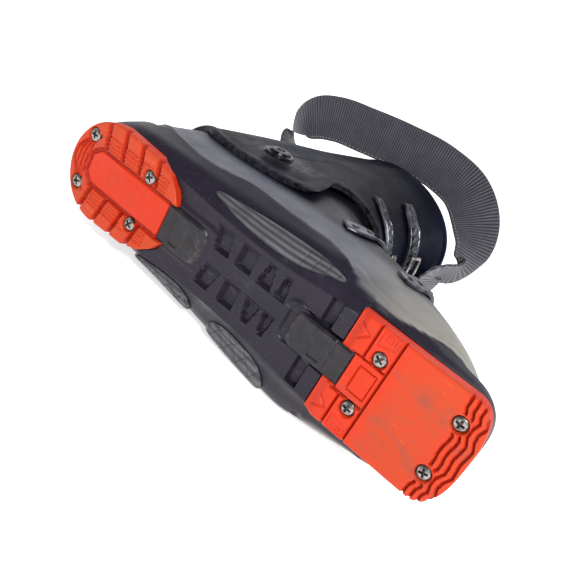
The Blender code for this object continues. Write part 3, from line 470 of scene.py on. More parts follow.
def linear(code: str) -> Tuple[float, float, float, float]:
    """Linear RGBA of an sRGB hex colour: c/12.92 below 0.04045, else ((c+0.055)/1.055)^2.4."""
    value = [int(code[i:i + 2], 16) / 255 for i in (1, 3, 5)]
    return (*[c / 12.92 if c <= 0.04045 else ((c + 0.055) / 1.055) ** 2.4 for c in value], 1.0)


class Graph:
    """The node tree of one finish."""

    def __init__(self, name: str) -> None:
        """Start a material that has a Principled shader only."""
        self.material = bpy.data.materials.new(name)
        self.material.use_nodes = True
        self.tree = self.material.node_tree
        self.shader = self.tree.nodes["Principled BSDF"]

    def add(self, kind: str, links: Optional[Dict[Any, Any]] = None, **settings: Any) -> bpy.types.Node:
        """Add a node, with its settings and what its inputs hold or are linked to.

        Args:
            kind: the node's type.
            links: input name or index to a value or an output socket.
            settings: attributes of the node.

        Returns:
            The node.
        """
        node = self.tree.nodes.new(kind)
        for key, value in settings.items():
            setattr(node, key, value)
        for key, value in (links or {}).items():
            if isinstance(value, bpy.types.NodeSocket):
                self.tree.links.new(value, node.inputs[key])
            else:
                node.inputs[key].default_value = value
        return node

    def mark(self, name: str) -> bpy.types.NodeSocket:
        """Value of a named attribute of the mesh."""
        return self.add("ShaderNodeAttribute", attribute_name=name).outputs["Fac"]

    def place(self, stretch: Sequence[float] = (1.0, 1.0, 1.0)) -> bpy.types.NodeSocket:
        """Object coordinates, stretched if asked."""
        here = self.add("ShaderNodeTexCoord").outputs["Object"]
        return self.add("ShaderNodeMapping", {"Vector": here, "Scale": stretch}).outputs["Vector"]

    def noise(self, size_mm: float, detail: float = 4.0, rough: float = 0.55,
              stretch: Sequence[float] = (1.0, 1.0, 1.0)) -> bpy.types.NodeSocket:
        """Noise whose features are about size_mm wide."""
        return self.add("ShaderNodeTexNoise", {"Vector": self.place(stretch), "Scale": 1000.0 / size_mm,
                                               "Detail": detail, "Roughness": rough}).outputs["Fac"]

    def band(self, value: bpy.types.NodeSocket, low: float, high: float, to_low: float = 0.0,
             to_high: float = 1.0) -> bpy.types.NodeSocket:
        """Value carried from one range to another, smoothly and clamped."""
        return self.add("ShaderNodeMapRange", {"Value": value, "From Min": low, "From Max": high,
                                               "To Min": to_low, "To Max": to_high},
                        interpolation_type="SMOOTHSTEP").outputs["Result"]

    def maths(self, operation: str, a: Any, b: Any = 0.0) -> bpy.types.NodeSocket:
        """One step of arithmetic."""
        return self.add("ShaderNodeMath", {0: a, 1: b}, operation=operation).outputs[0]

    def mix(self, share: Any, low: Any, high: Any) -> bpy.types.NodeSocket:
        """Two colours mixed by a share."""
        low, high = (linear(c) if isinstance(c, str) else c for c in (low, high))
        return self.add("ShaderNodeMix", {"Factor": share, 6: low, 7: high}, data_type="RGBA").outputs[2]

    def finish(self, colour: Any, roughness: Any, bumps: Sequence[Tuple[Any, float]] = (),
               **plain: float) -> bpy.types.Material:
        """Join the shader.

        Args:
            colour: hex colour or socket.
            roughness: value or socket.
            bumps: pairs of height socket and height in millimetres.
            plain: other inputs of the shader, with underscores for spaces.

        Returns:
            The material.
        """
        for key, value in (("Base Color", linear(colour) if isinstance(colour, str) else colour),
                           ("Roughness", roughness)):
            if isinstance(value, bpy.types.NodeSocket):
                self.tree.links.new(value, self.shader.inputs[key])
            else:
                self.shader.inputs[key].default_value = value
        for key, value in plain.items():
            self.shader.inputs[key.replace("_", " ")].default_value = value
        normal = None
        for height, size in bumps:
            links = {"Height": height, "Strength": 1.0, "Distance": size * MM}
            if normal is not None:
                links["Normal"] = normal
            normal = self.add("ShaderNodeBump", links).outputs["Normal"]
        if normal is not None:
            self.tree.links.new(normal, self.shader.inputs["Normal"])
        return self.material


@dataclass(frozen=True)
class MouldedShell:
    """Polyurethane of the lower shell, injection moulded in two colours.

    The mould gives it a satin face, on which grit leaves short pale scuffs and specks.
    """

    dark: str = "#1E1926"
    light: str = "#50525F"
    warm: str = "#8D8A80"
    # upper: near black, partly the shell's darker top colour and partly painted shade for the shadow there
    upper: str = "#0F0E1A"
    cloud: str = "#131018"
    scuff: str = "#5A5860"
    dust: str = "#9A979C"

    def make(self) -> bpy.types.Material:
        """Mix dark and light by the tone mark, warmer to the toe and near black over the instep, which is
        partly a darker top colour and partly painted shade.
        """
        g = Graph("polyurethane_two_colour_moulded")
        cloud = g.noise(60.0, 3.0)
        base = g.mix(g.mark("tone"), self.dark, g.mix(g.mark("warm"), self.light, self.warm))
        base = g.mix(g.band(cloud, 0.35, 0.75, 0.0, 0.3), base, self.cloud)
        # near black higher up, by the upper mark: partly a darker top colour, partly painted shade
        base = g.mix(g.mark("upper"), base, self.upper)
        scratch = g.noise(5.0, 8.0, 0.7, (0.25, 1.0, 1.0))
        exposed = g.band(g.mark("wear"), 0.0, 1.0, 0.12, 1.0)
        scuffed = g.maths("MULTIPLY", g.band(scratch, 0.56, 0.70, 0.0, 0.5), exposed)
        base = g.mix(scuffed, base, self.scuff)
        grit = g.noise(1.1, 2.0)
        base = g.mix(g.band(grit, 0.68, 0.76, 0.0, 0.22), base, self.dust)
        satin = g.band(g.noise(18.0), 0.3, 0.7, 0.36, 0.50)
        rough = g.maths("ADD", satin, g.maths("MULTIPLY", scuffed, 0.25))
        return g.finish(base, rough, ((g.noise(0.9, 2.0), 0.05), (scratch, 0.05)), IOR=1.5,
                        Specular_IOR_Level=0.28)


@dataclass(frozen=True)
class CuffPlastic:
    """Polyether of the cuff, injection moulded: near black, satin, rubbed beside a rivet."""

    base: str = "#0B0A14"
    cool: str = "#111628"
    rub: str = "#716F72"

    def make(self) -> bpy.types.Material:
        """Near black with a cooler cloud, rubbed where the wear mark says so."""
        g = Graph("polyether_black_moulded")
        colour = g.mix(g.band(g.noise(80.0, 3.0), 0.35, 0.7), self.base, self.cool)
        scratch = g.noise(4.0, 8.0, 0.7, (1.0, 0.22, 1.0))
        share = g.maths("MULTIPLY", g.band(scratch, 0.36, 0.62), g.mark("wear"))
        colour = g.mix(share, colour, self.rub)
        rough = g.maths("ADD", g.band(g.noise(14.0), 0.3, 0.7, 0.40, 0.54), g.maths("MULTIPLY", share, 0.3))
        return g.finish(colour, rough, ((g.noise(0.8, 2.0), 0.03), (scratch, 0.03)), IOR=1.5,
                        Specular_IOR_Level=0.08)


@dataclass(frozen=True)
class SoleRubber:
    """Thermoplastic rubber of the soles, moulded: dull orange red, with painted shade, a deeper red, in its
    recesses.
    """

    hot: str = "#C42804"
    worn: str = "#B53A12"
    dirt: str = "#6E4638"
    crumb: str = "#4A2A20"
    # deep: the dark red of the painted shade in the recesses
    deep: str = "#7A1606"
    scrape: str = "#E2714C"

    def make(self) -> bpy.types.Material:
        """Hot colour by default, worn colour on the tread's face, brown smears and pits, and painted shade in
        the recesses.
        """
        g = Graph("sole_rubber_orange_moulded")
        cloud = g.noise(26.0, 5.0)
        worn = g.maths("MULTIPLY", g.mark("wear"), g.band(cloud, 0.25, 0.6, 0.55, 1.0))
        colour = g.mix(worn, self.hot, self.worn)
        smear = g.noise(16.0, 6.0, 0.68, (0.5, 1.0, 1.4))
        muddy = g.band(g.mark("dirt"), 0.0, 1.0, 0.1, 1.0)
        dirty = g.maths("MULTIPLY", g.band(smear, 0.50, 0.70, 0.0, 0.5), muddy)
        colour = g.mix(dirty, colour, self.dirt)
        crumbs = g.noise(1.3, 2.0)
        colour = g.mix(g.band(crumbs, 0.72, 0.78, 0.0, 0.55), colour, self.crumb)
        # painted shade: darker red in the recesses, as far as the shade mark says
        colour = g.mix(g.maths("MULTIPLY", g.mark("shade"), 0.72), colour, self.deep)
        scratch = g.noise(3.0, 8.0, 0.72, (0.2, 1.0, 1.0))
        scraped = g.maths("MULTIPLY", g.band(scratch, 0.6, 0.7, 0.0, 0.5), g.mark("wear"))
        colour = g.mix(scraped, colour, self.scrape)
        rough = g.band(cloud, 0.3, 0.7, 0.42, 0.62)
        return g.finish(colour, rough, ((g.noise(0.7, 3.0), 0.06), (scratch, 0.08)), IOR=1.5,
                        Specular_IOR_Level=0.3)


@dataclass(frozen=True)
class GripRubber:
    """Soft rubber of the grip pads: warm grey, moulded with fine parallel ribs whose crests carry a painted
    highlight.
    """

    base: str = "#35363A"
    # rib: the lighter colour of the painted highlight on the ribs' crests
    rib: str = "#5C5D60"
    dust: str = "#2C2C32"
    # gap: the dark colour of the painted shade in the cut lines
    gap: str = "#17171B"
    pitch_mm: float = 3.455

    def make(self) -> bpy.types.Material:
        """Ribs along the pad, from its own lengths, coarser than real ones so that they show.

        A wave texture repeats every 2 pi / 20 of its coordinate, so its scale is that over the pitch.
        """
        g = Graph("grip_rubber_ribbed")
        uv = g.add("ShaderNodeUVMap", uv_map="UVMap").outputs["UV"]
        wave = g.add("ShaderNodeTexWave", {"Vector": uv, "Scale": math.pi / 10 / (self.pitch_mm * MM),
                                           "Distortion": 0.6, "Detail": 1.0}, wave_type="BANDS",
                     bands_direction="Y").outputs["Fac"]
        cloud = g.noise(14.0, 5.0)
        # painted highlight: the colour follows the ribs' wave, lighter on their crests
        colour = g.mix(wave, self.base, self.rib)
        colour = g.mix(g.band(cloud, 0.35, 0.7, 0.0, 0.5), colour, self.dust)
        # painted shade in the cut lines, by the shade mark
        colour = g.mix(g.maths("MULTIPLY", g.mark("shade"), 0.6), colour, self.gap)
        rough = g.band(cloud, 0.3, 0.7, 0.45, 0.62)
        return g.finish(colour, rough, ((wave, 0.18), (g.noise(0.8, 3.0), 0.05)), Specular_IOR_Level=0.3)


@dataclass(frozen=True)
class BlackNylon:
    """Glass-filled nylon of levers and tabs: black, satin, greyer where it has rubbed."""

    base: str = "#141116"
    rub: str = "#443E44"

    def make(self) -> bpy.types.Material:
        """Black with grey rubbing by noise and by the wear mark."""
        g = Graph("nylon_black_moulded")
        exposed = g.band(g.mark("wear"), 0.0, 1.0, 0.25, 0.95)
        rubbed = g.maths("MULTIPLY", g.band(g.noise(6.0, 7.0, 0.7), 0.42, 0.72), exposed)
        colour = g.mix(rubbed, self.base, self.rub)
        rough = g.band(g.noise(9.0), 0.3, 0.7, 0.32, 0.48)
        return g.finish(colour, rough, ((g.noise(0.6, 2.0), 0.035),), IOR=1.53,
                        Specular_IOR_Level=0.35)


@dataclass(frozen=True)
class PlatedSteel:
    """Plated steel of screws, wires and rivets: bright or blackened, with painted shade in its recesses."""

    bright: str = "#A5A19D"
    dull: str = "#625E5B"
    name: str = "steel_zinc_plated"
    # recess: the dark colour of the painted shade in the recesses
    recess: str = "#2A2422"

    def make(self) -> bpy.types.Material:
        """Bright and dull plating in clouds, and dark where the shade mark says so."""
        g = Graph(self.name)
        cloud = g.noise(4.0, 6.0, 0.65)
        colour = g.mix(g.band(cloud, 0.35, 0.68), self.bright, self.dull)
        # painted shade in the recesses, by the shade mark
        colour = g.mix(g.maths("MULTIPLY", g.mark("shade"), 0.85), colour, self.recess)
        rough = g.band(g.noise(2.0, 6.0), 0.3, 0.7, 0.2, 0.42)
        return g.finish(colour, rough, ((g.noise(1.2, 6.0, 0.7, (1.0, 0.25, 1.0)), 0.02),), Metallic=1.0)


@dataclass(frozen=True)
class Aluminium:
    """Anodised aluminium of the ladders and base plates: grey, satin."""

    base: str = "#6C6D74"
    dark: str = "#2C2C33"

    def make(self) -> bpy.types.Material:
        """Satin grey in clouds of two greys."""
        g = Graph("aluminium_anodised")
        cloud = g.noise(5.0, 6.0, 0.65)
        colour = g.mix(g.band(cloud, 0.3, 0.7), self.base, self.dark)
        rough = g.band(cloud, 0.3, 0.7, 0.28, 0.45)
        return g.finish(colour, rough, ((g.noise(0.8, 4.0), 0.02),), Metallic=1.0)


@dataclass(frozen=True)
class StrapWebbing:
    """Nylon webbing of the power strap: charcoal, woven with ribs across it, with a painted highlight on the
    ribs' tops.
    """

    base: str = "#141319"
    # thread: the paler colour of the painted highlight on the ribs' tops
    thread: str = "#565663"
    fuzz: str = "#77767C"
    thread_mm: float = 0.9

    def make(self) -> bpy.types.Material:
        """A paler painted highlight on the ribs, which are in the mesh, and finer threads between its edges.
        """
        g = Graph("nylon_webbing_woven")
        uv = g.add("ShaderNodeUVMap", uv_map="UVMap").outputs["UV"]
        parts = g.add("ShaderNodeSeparateXYZ", {"Vector": uv})
        turns = g.maths("MULTIPLY", parts.outputs["Y"], 2 * math.pi / (self.thread_mm * MM))
        across = g.maths("SINE", turns)
        on_rib = g.band(g.mark("rib"), 0.2, 1.0, 0.25, 1.0)
        weave = g.maths("MULTIPLY", g.band(across, -1.0, 1.0), on_rib)
        cloud = g.noise(12.0, 5.0)
        lit = g.maths("MULTIPLY", g.band(g.mark("rib"), 0.15, 0.9), g.band(cloud, 0.25, 0.75, 0.6, 1.0))
        # painted highlight: the rib tops paler
        colour = g.mix(lit, self.base, self.thread)
        colour = g.mix(g.maths("MULTIPLY", weave, 0.25), colour, self.base)
        fuzz = g.noise(0.5, 2.0)
        colour = g.mix(g.band(fuzz, 0.62, 0.75, 0.0, 0.3), colour, self.fuzz)
        return g.finish(colour, 0.78, ((weave, 0.12), (fuzz, 0.08)), Sheen_Weight=0.25, Sheen_Roughness=0.5)


@dataclass(frozen=True)
class FoamFabric:
    """Cloth over foam of the liner and tongue, knitted or pressed: dark, matt, with a soft sheen."""

    base: str = "#1B1B20"
    lift: str = "#34343A"
    name: str = "liner_fabric_knit"
    pitch_mm: float = 1.0
    worn: str = "#45454C"

    def make(self) -> bpy.types.Material:
        """Knit as small cells, one for each loop of the yarn, with greyer clouds of wear."""
        g = Graph(self.name)
        cells = {"Vector": g.place(), "Scale": 1000.0 / self.pitch_mm}
        knit = g.add("ShaderNodeTexVoronoi", cells).outputs["Distance"]
        cloud = g.noise(20.0, 4.0)
        colour = g.mix(g.band(knit, 0.1, 0.6, 1.0, 0.0), self.base, self.lift)
        colour = g.mix(g.band(cloud, 0.4, 0.75, 0.0, 0.3), colour, self.worn)
        return g.finish(colour, 0.9, ((knit, 0.15),), Sheen_Weight=0.35, Sheen_Roughness=0.45)


@dataclass(frozen=True)
class Thread:
    """Polyester sewing thread, twisted: pale and matt, so that the stitches stand out."""

    base: str = "#C4C4CA"
    soiled: str = "#5E5E66"

    def make(self) -> bpy.types.Material:
        """Off-white, soiled in places."""
        g = Graph("polyester_thread")
        colour = g.mix(g.noise(0.8, 2.0), self.base, self.soiled)
        return g.finish(colour, 0.7, ((g.noise(0.4, 2.0), 0.05),))


class Palette:
    """Every finish, made once."""

    def __init__(self) -> None:
        """Make the materials."""
        self.shell = MouldedShell().make()
        self.cuff = CuffPlastic().make()
        self.sole = SoleRubber().make()
        self.grip = GripRubber().make()
        self.nylon = BlackNylon().make()
        self.steel = PlatedSteel().make()
        self.dark_steel = PlatedSteel("#34343C", "#1B1B21", "steel_blackened").make()
        self.aluminium = Aluminium().make()
        self.webbing = StrapWebbing().make()
        self.fabric = FoamFabric().make()
        self.felt = FoamFabric("#2B2B2E", "#4C4C50", "insole_felt_pressed", 0.6).make()
        self.thread = Thread().make()


# ---- distances for the treads

def groove(distance: Array, half: float, soft: float = 0.35) -> Array:
    """1 within half of a line, falling to 0 over the soft width."""
    return 1.0 - ease(distance, half - soft, half + soft)


def to_path(x: Array, y: Array, path: Sequence[Tuple[float, float]]) -> Array:
    """Distance to a path of straight stretches, the least over them."""
    best = np.full(np.shape(x), 1e9)
    for (ax, ay), (bx, by) in zip(path[:-1], path[1:]):
        dx, dy = bx - ax, by - ay
        t = np.clip(((x - ax) * dx + (y - ay) * dy) / (dx * dx + dy * dy), 0, 1)
        best = np.minimum(best, np.hypot(x - ax - t * dx, y - ay - t * dy))
    return best


def in_box(x: Array, y: Array, low: Tuple[float, float], high: Tuple[float, float],
           corner: float = 0.0) -> Array:
    """Signed distance to a level rectangle with rounded corners, negative inside."""
    cx, cy = (low[0] + high[0]) / 2, (low[1] + high[1]) / 2
    qx = np.abs(x - cx) - (high[0] - low[0]) / 2 + corner
    qy = np.abs(y - cy) - (high[1] - low[1]) / 2 + corner
    return np.hypot(np.maximum(qx, 0), np.maximum(qy, 0)) + np.minimum(np.maximum(qx, qy), 0) - corner


def in_polygon(x: Array, y: Array, corners: Sequence[Tuple[float, float]]) -> Array:
    """Largest signed distance to the sides of a convex outline, negative inside."""
    cx, cy = np.mean(np.array(corners), axis=0)
    best = np.full(np.shape(x), -1e9)
    for (ax, ay), (bx, by) in zip(corners, list(corners[1:]) + [corners[0]]):
        nx, ny = by - ay, ax - bx
        length = math.hypot(nx, ny)
        if (cx - ax) * nx + (cy - ay) * ny > 0:
            nx, ny = -nx, -ny
        best = np.maximum(best, ((x - ax) * nx + (y - ay) * ny) / length)
    return best


# ---- the soles

DEEPEST = 7.5  # height that no cut of a sole piece goes beyond
NOTCH = 5.2  # depth of the steps that take the tabs


@dataclass
class PlanSolid:
    """A plate drawn in plan, whose lower face is a height over the plan.

    Attributes:
        xs: stations along the boot.
        half: half width at a station.
        face: height of the lower face over (x, y).
        back: height of the plate's upper face.
        across: number of points across.
    """

    xs: Array
    half: Callable[[Array], Array]
    face: Callable[[Array, Array], Dict[str, Array]]
    back: float
    across: int

    def sheets(self) -> List[Sheet]:
        """The face, its two side walls and the upper face.

        The face is (x, t half(x), face(x, y)) for t from -1 to 1, closer together towards the
        borders, and the walls run straight up from them.

        Returns:
            The four grids, in the order that ends() counts on.
        """
        t = np.sin(np.linspace(-1, 1, self.across) * 1.35) / math.sin(1.35)
        x = np.repeat(self.xs[:, None], self.across, axis=1)
        y = t[None, :] * self.half(self.xs)[:, None]
        marks = dict(self.face(x, y))
        z = marks.pop("z")
        lower = np.stack([x, y, z], axis=-1)
        upper = np.stack([x, y, np.full_like(z, self.back)], axis=-1)
        sheets = [Sheet(lower, False, marks)]
        for border in ((slice(None), 0), (slice(None), -1)):
            sheets.append(Sheet(np.stack([lower[border], upper[border]])))
        sheets.append(Sheet(upper[:, [0, self.across - 1]]))
        return sheets

    def ends(self) -> List[List[int]]:
        """Flat end walls.

        Returns:
            Two polygons, as indices into the points of sheets().
        """
        rows, faces = len(self.xs), []
        start = rows * self.across + 4 * rows
        for row in (0, rows - 1):
            border = [row * self.across + i for i in range(self.across)]
            faces.append(border + [start + 2 * row + 1, start + 2 * row])
        return faces


def heel_half(x: Array) -> Array:
    """Half width of the heel sole: a half round behind, then sides that close in."""
    arc = np.sqrt(np.maximum(HEEL_HALF**2 - (HEEL_HALF - np.minimum(x, HEEL_HALF)) ** 2, 0.0))
    return np.where(x < HEEL_HALF, arc, np.interp(x, (33, 63, 76, 85, 90), (33, 31.5, 27.5, 21, 14)))


def toe_half(x: Array) -> Array:
    """Half width of the toe sole: straight sides and a shallow front with round corners."""
    corner = 18.0
    from_end = np.clip((x - (SOLE_LENGTH - corner)) / corner, 0.0, 1.0)
    angle = np.arccos(from_end ** (1 / 0.75))
    return np.where(x <= SOLE_LENGTH - corner, TOE_HALF, TOE_HALF * np.sin(angle) ** 0.75)


def screw_seats(x: Array, y: Array, names: Sequence[str]) -> Array:
    """How deep the seats of the screws are: 3.4 mm within 4.7 mm, with a small lead-in."""
    deep = np.zeros_like(x)
    for name in names:
        sx, sy = SCREWS[name]
        r = np.hypot(x - sx, np.abs(y) - sy)
        deep = np.maximum(deep, 3.4 * groove(r, 4.75, 0.3) + 0.5 * groove(r, 5.3, 0.5))
    return deep


@dataclass
class HeelSole:
    """The heel sole with its centre plate, lugs, slanted grooves and curved lines behind.

    Attributes:
        grooves: where the slanted grooves leave the centre plate.
        groove_half, groove_depth: half width and depth of a slanted groove.
        lines: where the curved lines behind cross the middle.
        line_half, line_depth: their half width and depth.
        plate_half, ring_depth: half width of the centre plate, and depth of the groove round it.
    """

    grooves: Tuple[float, ...] = (25.0, 40.0, 55.0, 70.0)
    groove_half: float = 1.25
    groove_depth: float = 3.3
    lines: Tuple[float, ...] = (3.2, 6.6, 10.0, 13.2)
    line_half: float = 0.75
    line_depth: float = 2.0
    plate_half: float = 11.2
    ring_depth: float = 2.6

    def face(self, x: Array, y: Array) -> Dict[str, Array]:
        """Height of the tread, and how worn, dirty and shaded it is; the deepest groove counts.

        Args:
            x, y: places in the boot's own axes, in millimetres.

        Returns:
            The height as "z", and the marks "wear", "dirt" and "shade".
        """
        a = np.abs(y)
        edge = np.where(x < HEEL_HALF, HEEL_HALF - np.hypot(x - HEEL_HALF, y), (heel_half(x) - a) * 0.93)
        edge = np.minimum(edge, HEEL_SOLE - x)
        z = 1.3 * (1 - np.sqrt(1 - (1 - np.clip(edge / 2.0, 0, 1)) ** 2))
        z = z + 0.9 * ease(33 - x, 0, 33) ** 2  # worn round behind
        half = self.plate_half
        plate = in_polygon(x, a, ((17, -1), (17, 6), (22.5, half), (100, half), (100, -1)))
        z = z + 1.1 * groove(plate, 0.0, 0.4)
        ring = groove(np.abs(plate - 1.2), 1.2, 0.5) * (x < 86)
        lug = ease(plate, 2.0, 3.0)
        cuts = np.zeros_like(x)
        for start in self.grooves:
            bend = [(start + 1.2, 11.0), (start - 1.2, 19.0), (start - 1.6, 23.0), (start - 6.2, 40.0)]
            cuts = np.maximum(cuts, groove(to_path(x, a, bend), self.groove_half, 0.5))
            slant = (a - 12) * 0.2
            worn_edge = np.exp(-np.maximum(x - start + slant, 0) / 2.2) * (x > start - slant)
            z = z + 0.9 * lug * worn_edge
        curves = np.zeros_like(x)
        for i, back in enumerate(self.lines):
            reach = 8.0 + 2.6 * i
            path = [(back + 5.0, reach + 3.5), (back + 2.3, reach), (back + 0.2, reach * 0.52), (back, 0.0)]
            curves = np.maximum(curves, groove(to_path(x, a, path), self.line_half, 0.4))
        zig = np.abs(((x / 2.6) % 1.0) - 0.5) * 2.4
        fine = groove(np.abs(((a + zig) % 2.5) - 1.25), 0.42, 0.3)
        screw_x, screw_y = SCREWS["heel_front"]
        zone = ease(a, 14.5, 15.2) * (1 - ease(a, 24.5, 25.2)) * ease(x, 24, 26) * (1 - ease(x, 78, 80))
        zone = zone * (1 - cuts) * (1 - groove(np.hypot(x - screw_x, a - screw_y), 6.5, 0.5))
        chevron = groove(np.abs(((x + 0.35 * a) % 8.0) - 4.0), 0.28, 0.2)
        chevron = chevron * groove(plate, -1.4, 0.4) * ease(x, 26, 30)
        deep = np.maximum.reduce([self.groove_depth * cuts * lug, self.ring_depth * ring,
                                  self.line_depth * curves, 0.7 * fine * zone, 0.3 * chevron])
        z = z + np.maximum(deep, screw_seats(x, y, ("heel_rear", "heel_front")))
        notch = groove(in_box(x, y, (85.0, -12.9), (99.0, 12.9)), 0.0, 0.25)
        z = z * (1 - notch) + NOTCH * notch
        wear = np.clip(1 - deep / 0.8, 0, 1) * (1 - groove(plate, 0.6, 0.5) * 0.75)
        return {"z": np.minimum(z, DEEPEST), "wear": wear, "dirt": 0.25 + 0.75 * ease(24 - x, 0, 14),
                "shade": np.clip(deep / 2.4, 0, 1) ** 1.3}

    def build(self, palette: Palette) -> None:
        """Make the piece on a grid that follows the half round behind and then goes straight."""
        turn = np.linspace(0, math.pi / 2, 70)
        straight = np.arange(HEEL_HALF + 0.55, HEEL_SOLE + 0.01, 0.55)
        xs = np.concatenate([HEEL_HALF * (1 - np.cos(turn)), straight, [HEEL_SOLE]])
        plate = PlanSolid(np.unique(xs), heel_half, self.face, SOLE_THICKNESS, 130)
        make_piece("heel_sole_tread", plate.sheets(), palette.sole, ["heel_sole"], 50,
                   polygons=plate.ends())


@dataclass
class ToeSole:
    """The toe sole with its smooth zone, side blocks, centre panel and five wavy grooves.

    Attributes:
        waves, first_wave, wave_pitch: how many wavy grooves, the first one's place, their spacing.
        wave_half, wave_depth: their half width and depth.
        line_depth: depth of the straight grooves round the panel.
    """

    waves: int = 5
    first_wave: float = 288.6
    wave_pitch: float = 4.15
    wave_half: float = 0.62
    wave_depth: float = 2.2
    line_depth: float = 2.2

    def face(self, x: Array, y: Array) -> Dict[str, Array]:
        """Height of the tread, and how worn, dirty and shaded it is; the deepest groove counts.

        Args:
            x, y: places in the boot's own axes, in millimetres.

        Returns:
            The height as "z", and the marks "wear", "dirt" and "shade".
        """
        a = np.abs(y)
        edge = np.minimum((toe_half(x) - a), (SOLE_LENGTH - x) * 0.9)
        corner = np.hypot(np.maximum(x - 292, 0), np.maximum(a - 16.5, 0))
        edge = np.minimum(edge, np.maximum(18.4 - corner, 0))
        z = 1.2 * (1 - np.sqrt(1 - (1 - np.clip(edge / 1.8, 0, 1)) ** 2))
        z = z + 1.0 * ease(x, 296, SOLE_LENGTH) ** 2
        z = z + 3.2 * (1 - ease(x, TOE_START, 228.5)) * ease(a, 11.2, 12.4)
        z = z + 0.9 * groove(in_box(x, a, (229, -9), (250.4, 12.0)), 0.0, 0.4)
        lines = np.maximum.reduce([
            groove(np.abs(x - 250.6), 0.55, 0.3), groove(np.abs(x - 235.0), 0.5, 0.3) * ease(a, 12.6, 13.4),
            groove(np.abs(a - 12.4), 0.55, 0.3) * (1 - ease(x, 250, 251)) * ease(x, 227, 228.5),
            0.5 * groove(np.abs(in_box(x, a, (236.2, -9), (247.4, 8.2), 0.6)), 0.35, 0.25)])
        wedge = to_path(x, a, ((224.5, 29.0), (232.0, 25.0), (226.5, 20.0)))
        block = in_polygon(x, a, ((237.5, 24.0), (237.5, 33.0), (248.0, 33.0), (248.0, 27.0)))
        blocks = groove(wedge, 0.5, 0.3) + groove(np.abs(block), 0.4, 0.3) * 0.6
        ribs = groove(np.abs((x % 1.9) - 0.95), 0.35, 0.25)
        ribs = ribs * groove(in_box(x, a, (239.0, 28.4), (247.0, 32.0)), 0, 0.3)
        screw_x, screw_y = SCREWS["toe_tip"]
        clear = 1 - groove(np.hypot(x - screw_x, a - screw_y), 6.0, 0.4)
        waves = np.zeros_like(x)
        for i in range(self.waves):
            start = self.first_wave + self.wave_pitch * i
            path = [(start - 1.2, 40.0), (start - 0.2, 27.0), (start + 1.3, 24.0), (start - 0.2, 19.0),
                    (start + 0.2, 14.5), (start + 2.6, 9.5), (start + 2.3, 6.0), (start + 1.5, 0.0)]
            fade = ease(x, 291.5, 293.0) if i == 0 else 1.0
            waves = np.maximum(waves, groove(to_path(x, a, path), self.wave_half, 0.35) * clear * fade)
        deep = np.maximum.reduce([self.line_depth * lines, 0.8 * np.minimum(blocks, 1), 0.5 * ribs,
                                  self.wave_depth * waves])
        z = z + np.maximum(deep, screw_seats(x, y, ("toe_rear", "toe_tip")))
        notch = groove(in_box(x, y, (211.0, -11.4), (230.4, 11.4)), 0.0, 0.25)
        z = z * (1 - notch) + NOTCH * notch
        worn = ease(x, 250, 262) * (1 - 0.35 * ease(x, 286, 292))
        wear = np.clip(1 - deep / 0.8, 0, 1) * (0.25 + 0.75 * worn)
        return {"z": np.minimum(z, DEEPEST), "wear": wear, "dirt": 0.35 + 0.65 * worn * (a < 30),
                "shade": np.clip(deep / 2.0, 0, 1) ** 1.3}

    def build(self, palette: Palette) -> None:
        """Make the piece on a grid whose rows close up towards the front."""
        turn = np.linspace(0, math.pi / 2, 40)
        front = SOLE_LENGTH - 18.0
        xs = np.concatenate([np.arange(TOE_START, front, 0.5), front + 18 * np.sin(turn)])
        plate = PlanSolid(np.unique(xs), toe_half, self.face, SOLE_THICKNESS, 136)
        make_piece("toe_sole_tread", plate.sheets(), palette.sole, ["toe_sole"], 50,
                   polygons=plate.ends())


@dataclass
class Tab:
    """A black plate under the shell, flush with a sole piece.

    Attributes:
        name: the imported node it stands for.
        start, end: its ends along the boot.
        width: half its width.
        round_start: the rear end is the rounded one.
    """

    name: str
    start: float
    end: float
    width: float
    round_start: bool

    def half(self, x: Array) -> Array:
        """Half width, with two round corners at one end."""
        radius = self.width * 0.5
        gap = (x - self.start) if self.round_start else (self.end - x)
        inner = np.sqrt(np.maximum(radius**2 - (radius - np.minimum(gap, radius)) ** 2, 0.0))
        return self.width - radius + inner

    def face(self, x: Array, y: Array) -> Dict[str, Array]:
        """Height of the lower face: a bevel round it, a ramp at its free end and a shallow panel."""
        a = np.abs(y)
        edge = np.minimum(self.half(x) - a, np.minimum(x - self.start, self.end - x) + 0.2)
        z = 1.2 + 1.0 * (1 - ease(edge, 0, 1.5))
        middle = (self.start + self.end) / 2
        if self.round_start:
            ramp = 0.8 * ease(self.start + 6 - x, 0, 6)
            panel = in_box(x, y, (206.0, -7.4), (215.6, 7.4), 0.8)
            step = groove(np.abs(x - 218.5), 0.35, 0.25) * 0.4
        else:
            ramp = 1.7 * ease(x, self.end - 11.5, self.end)
            panel = in_box(x, y, (middle - 8.8, -9.4), (middle + 2.4, 9.4), 5.0)
            step = groove(np.abs(x - self.end + 11.5), 0.4, 0.3) * 0.25
        z = z + ramp + 0.55 * groove(panel, 0.0, 0.3) + step
        return {"z": np.minimum(z, 4.5), "wear": np.clip(ramp + 0.5 * (1 - ease(edge, 0.5, 3.0)), 0, 1)}

    def build(self, palette: Palette) -> None:
        """Make the piece."""
        ends = (1 - np.cos(np.linspace(0, math.pi / 2, 18))) * 6
        xs = np.concatenate([self.start + ends, np.arange(self.start + 6.5, self.end - 6.2, 0.5),
                             self.end - ends])
        plate = PlanSolid(np.unique(xs), self.half, self.face, 4.7, 60)
        make_piece(f"{self.name}_plate", plate.sheets(), palette.nylon, [self.name], 45,
                   polygons=plate.ends())


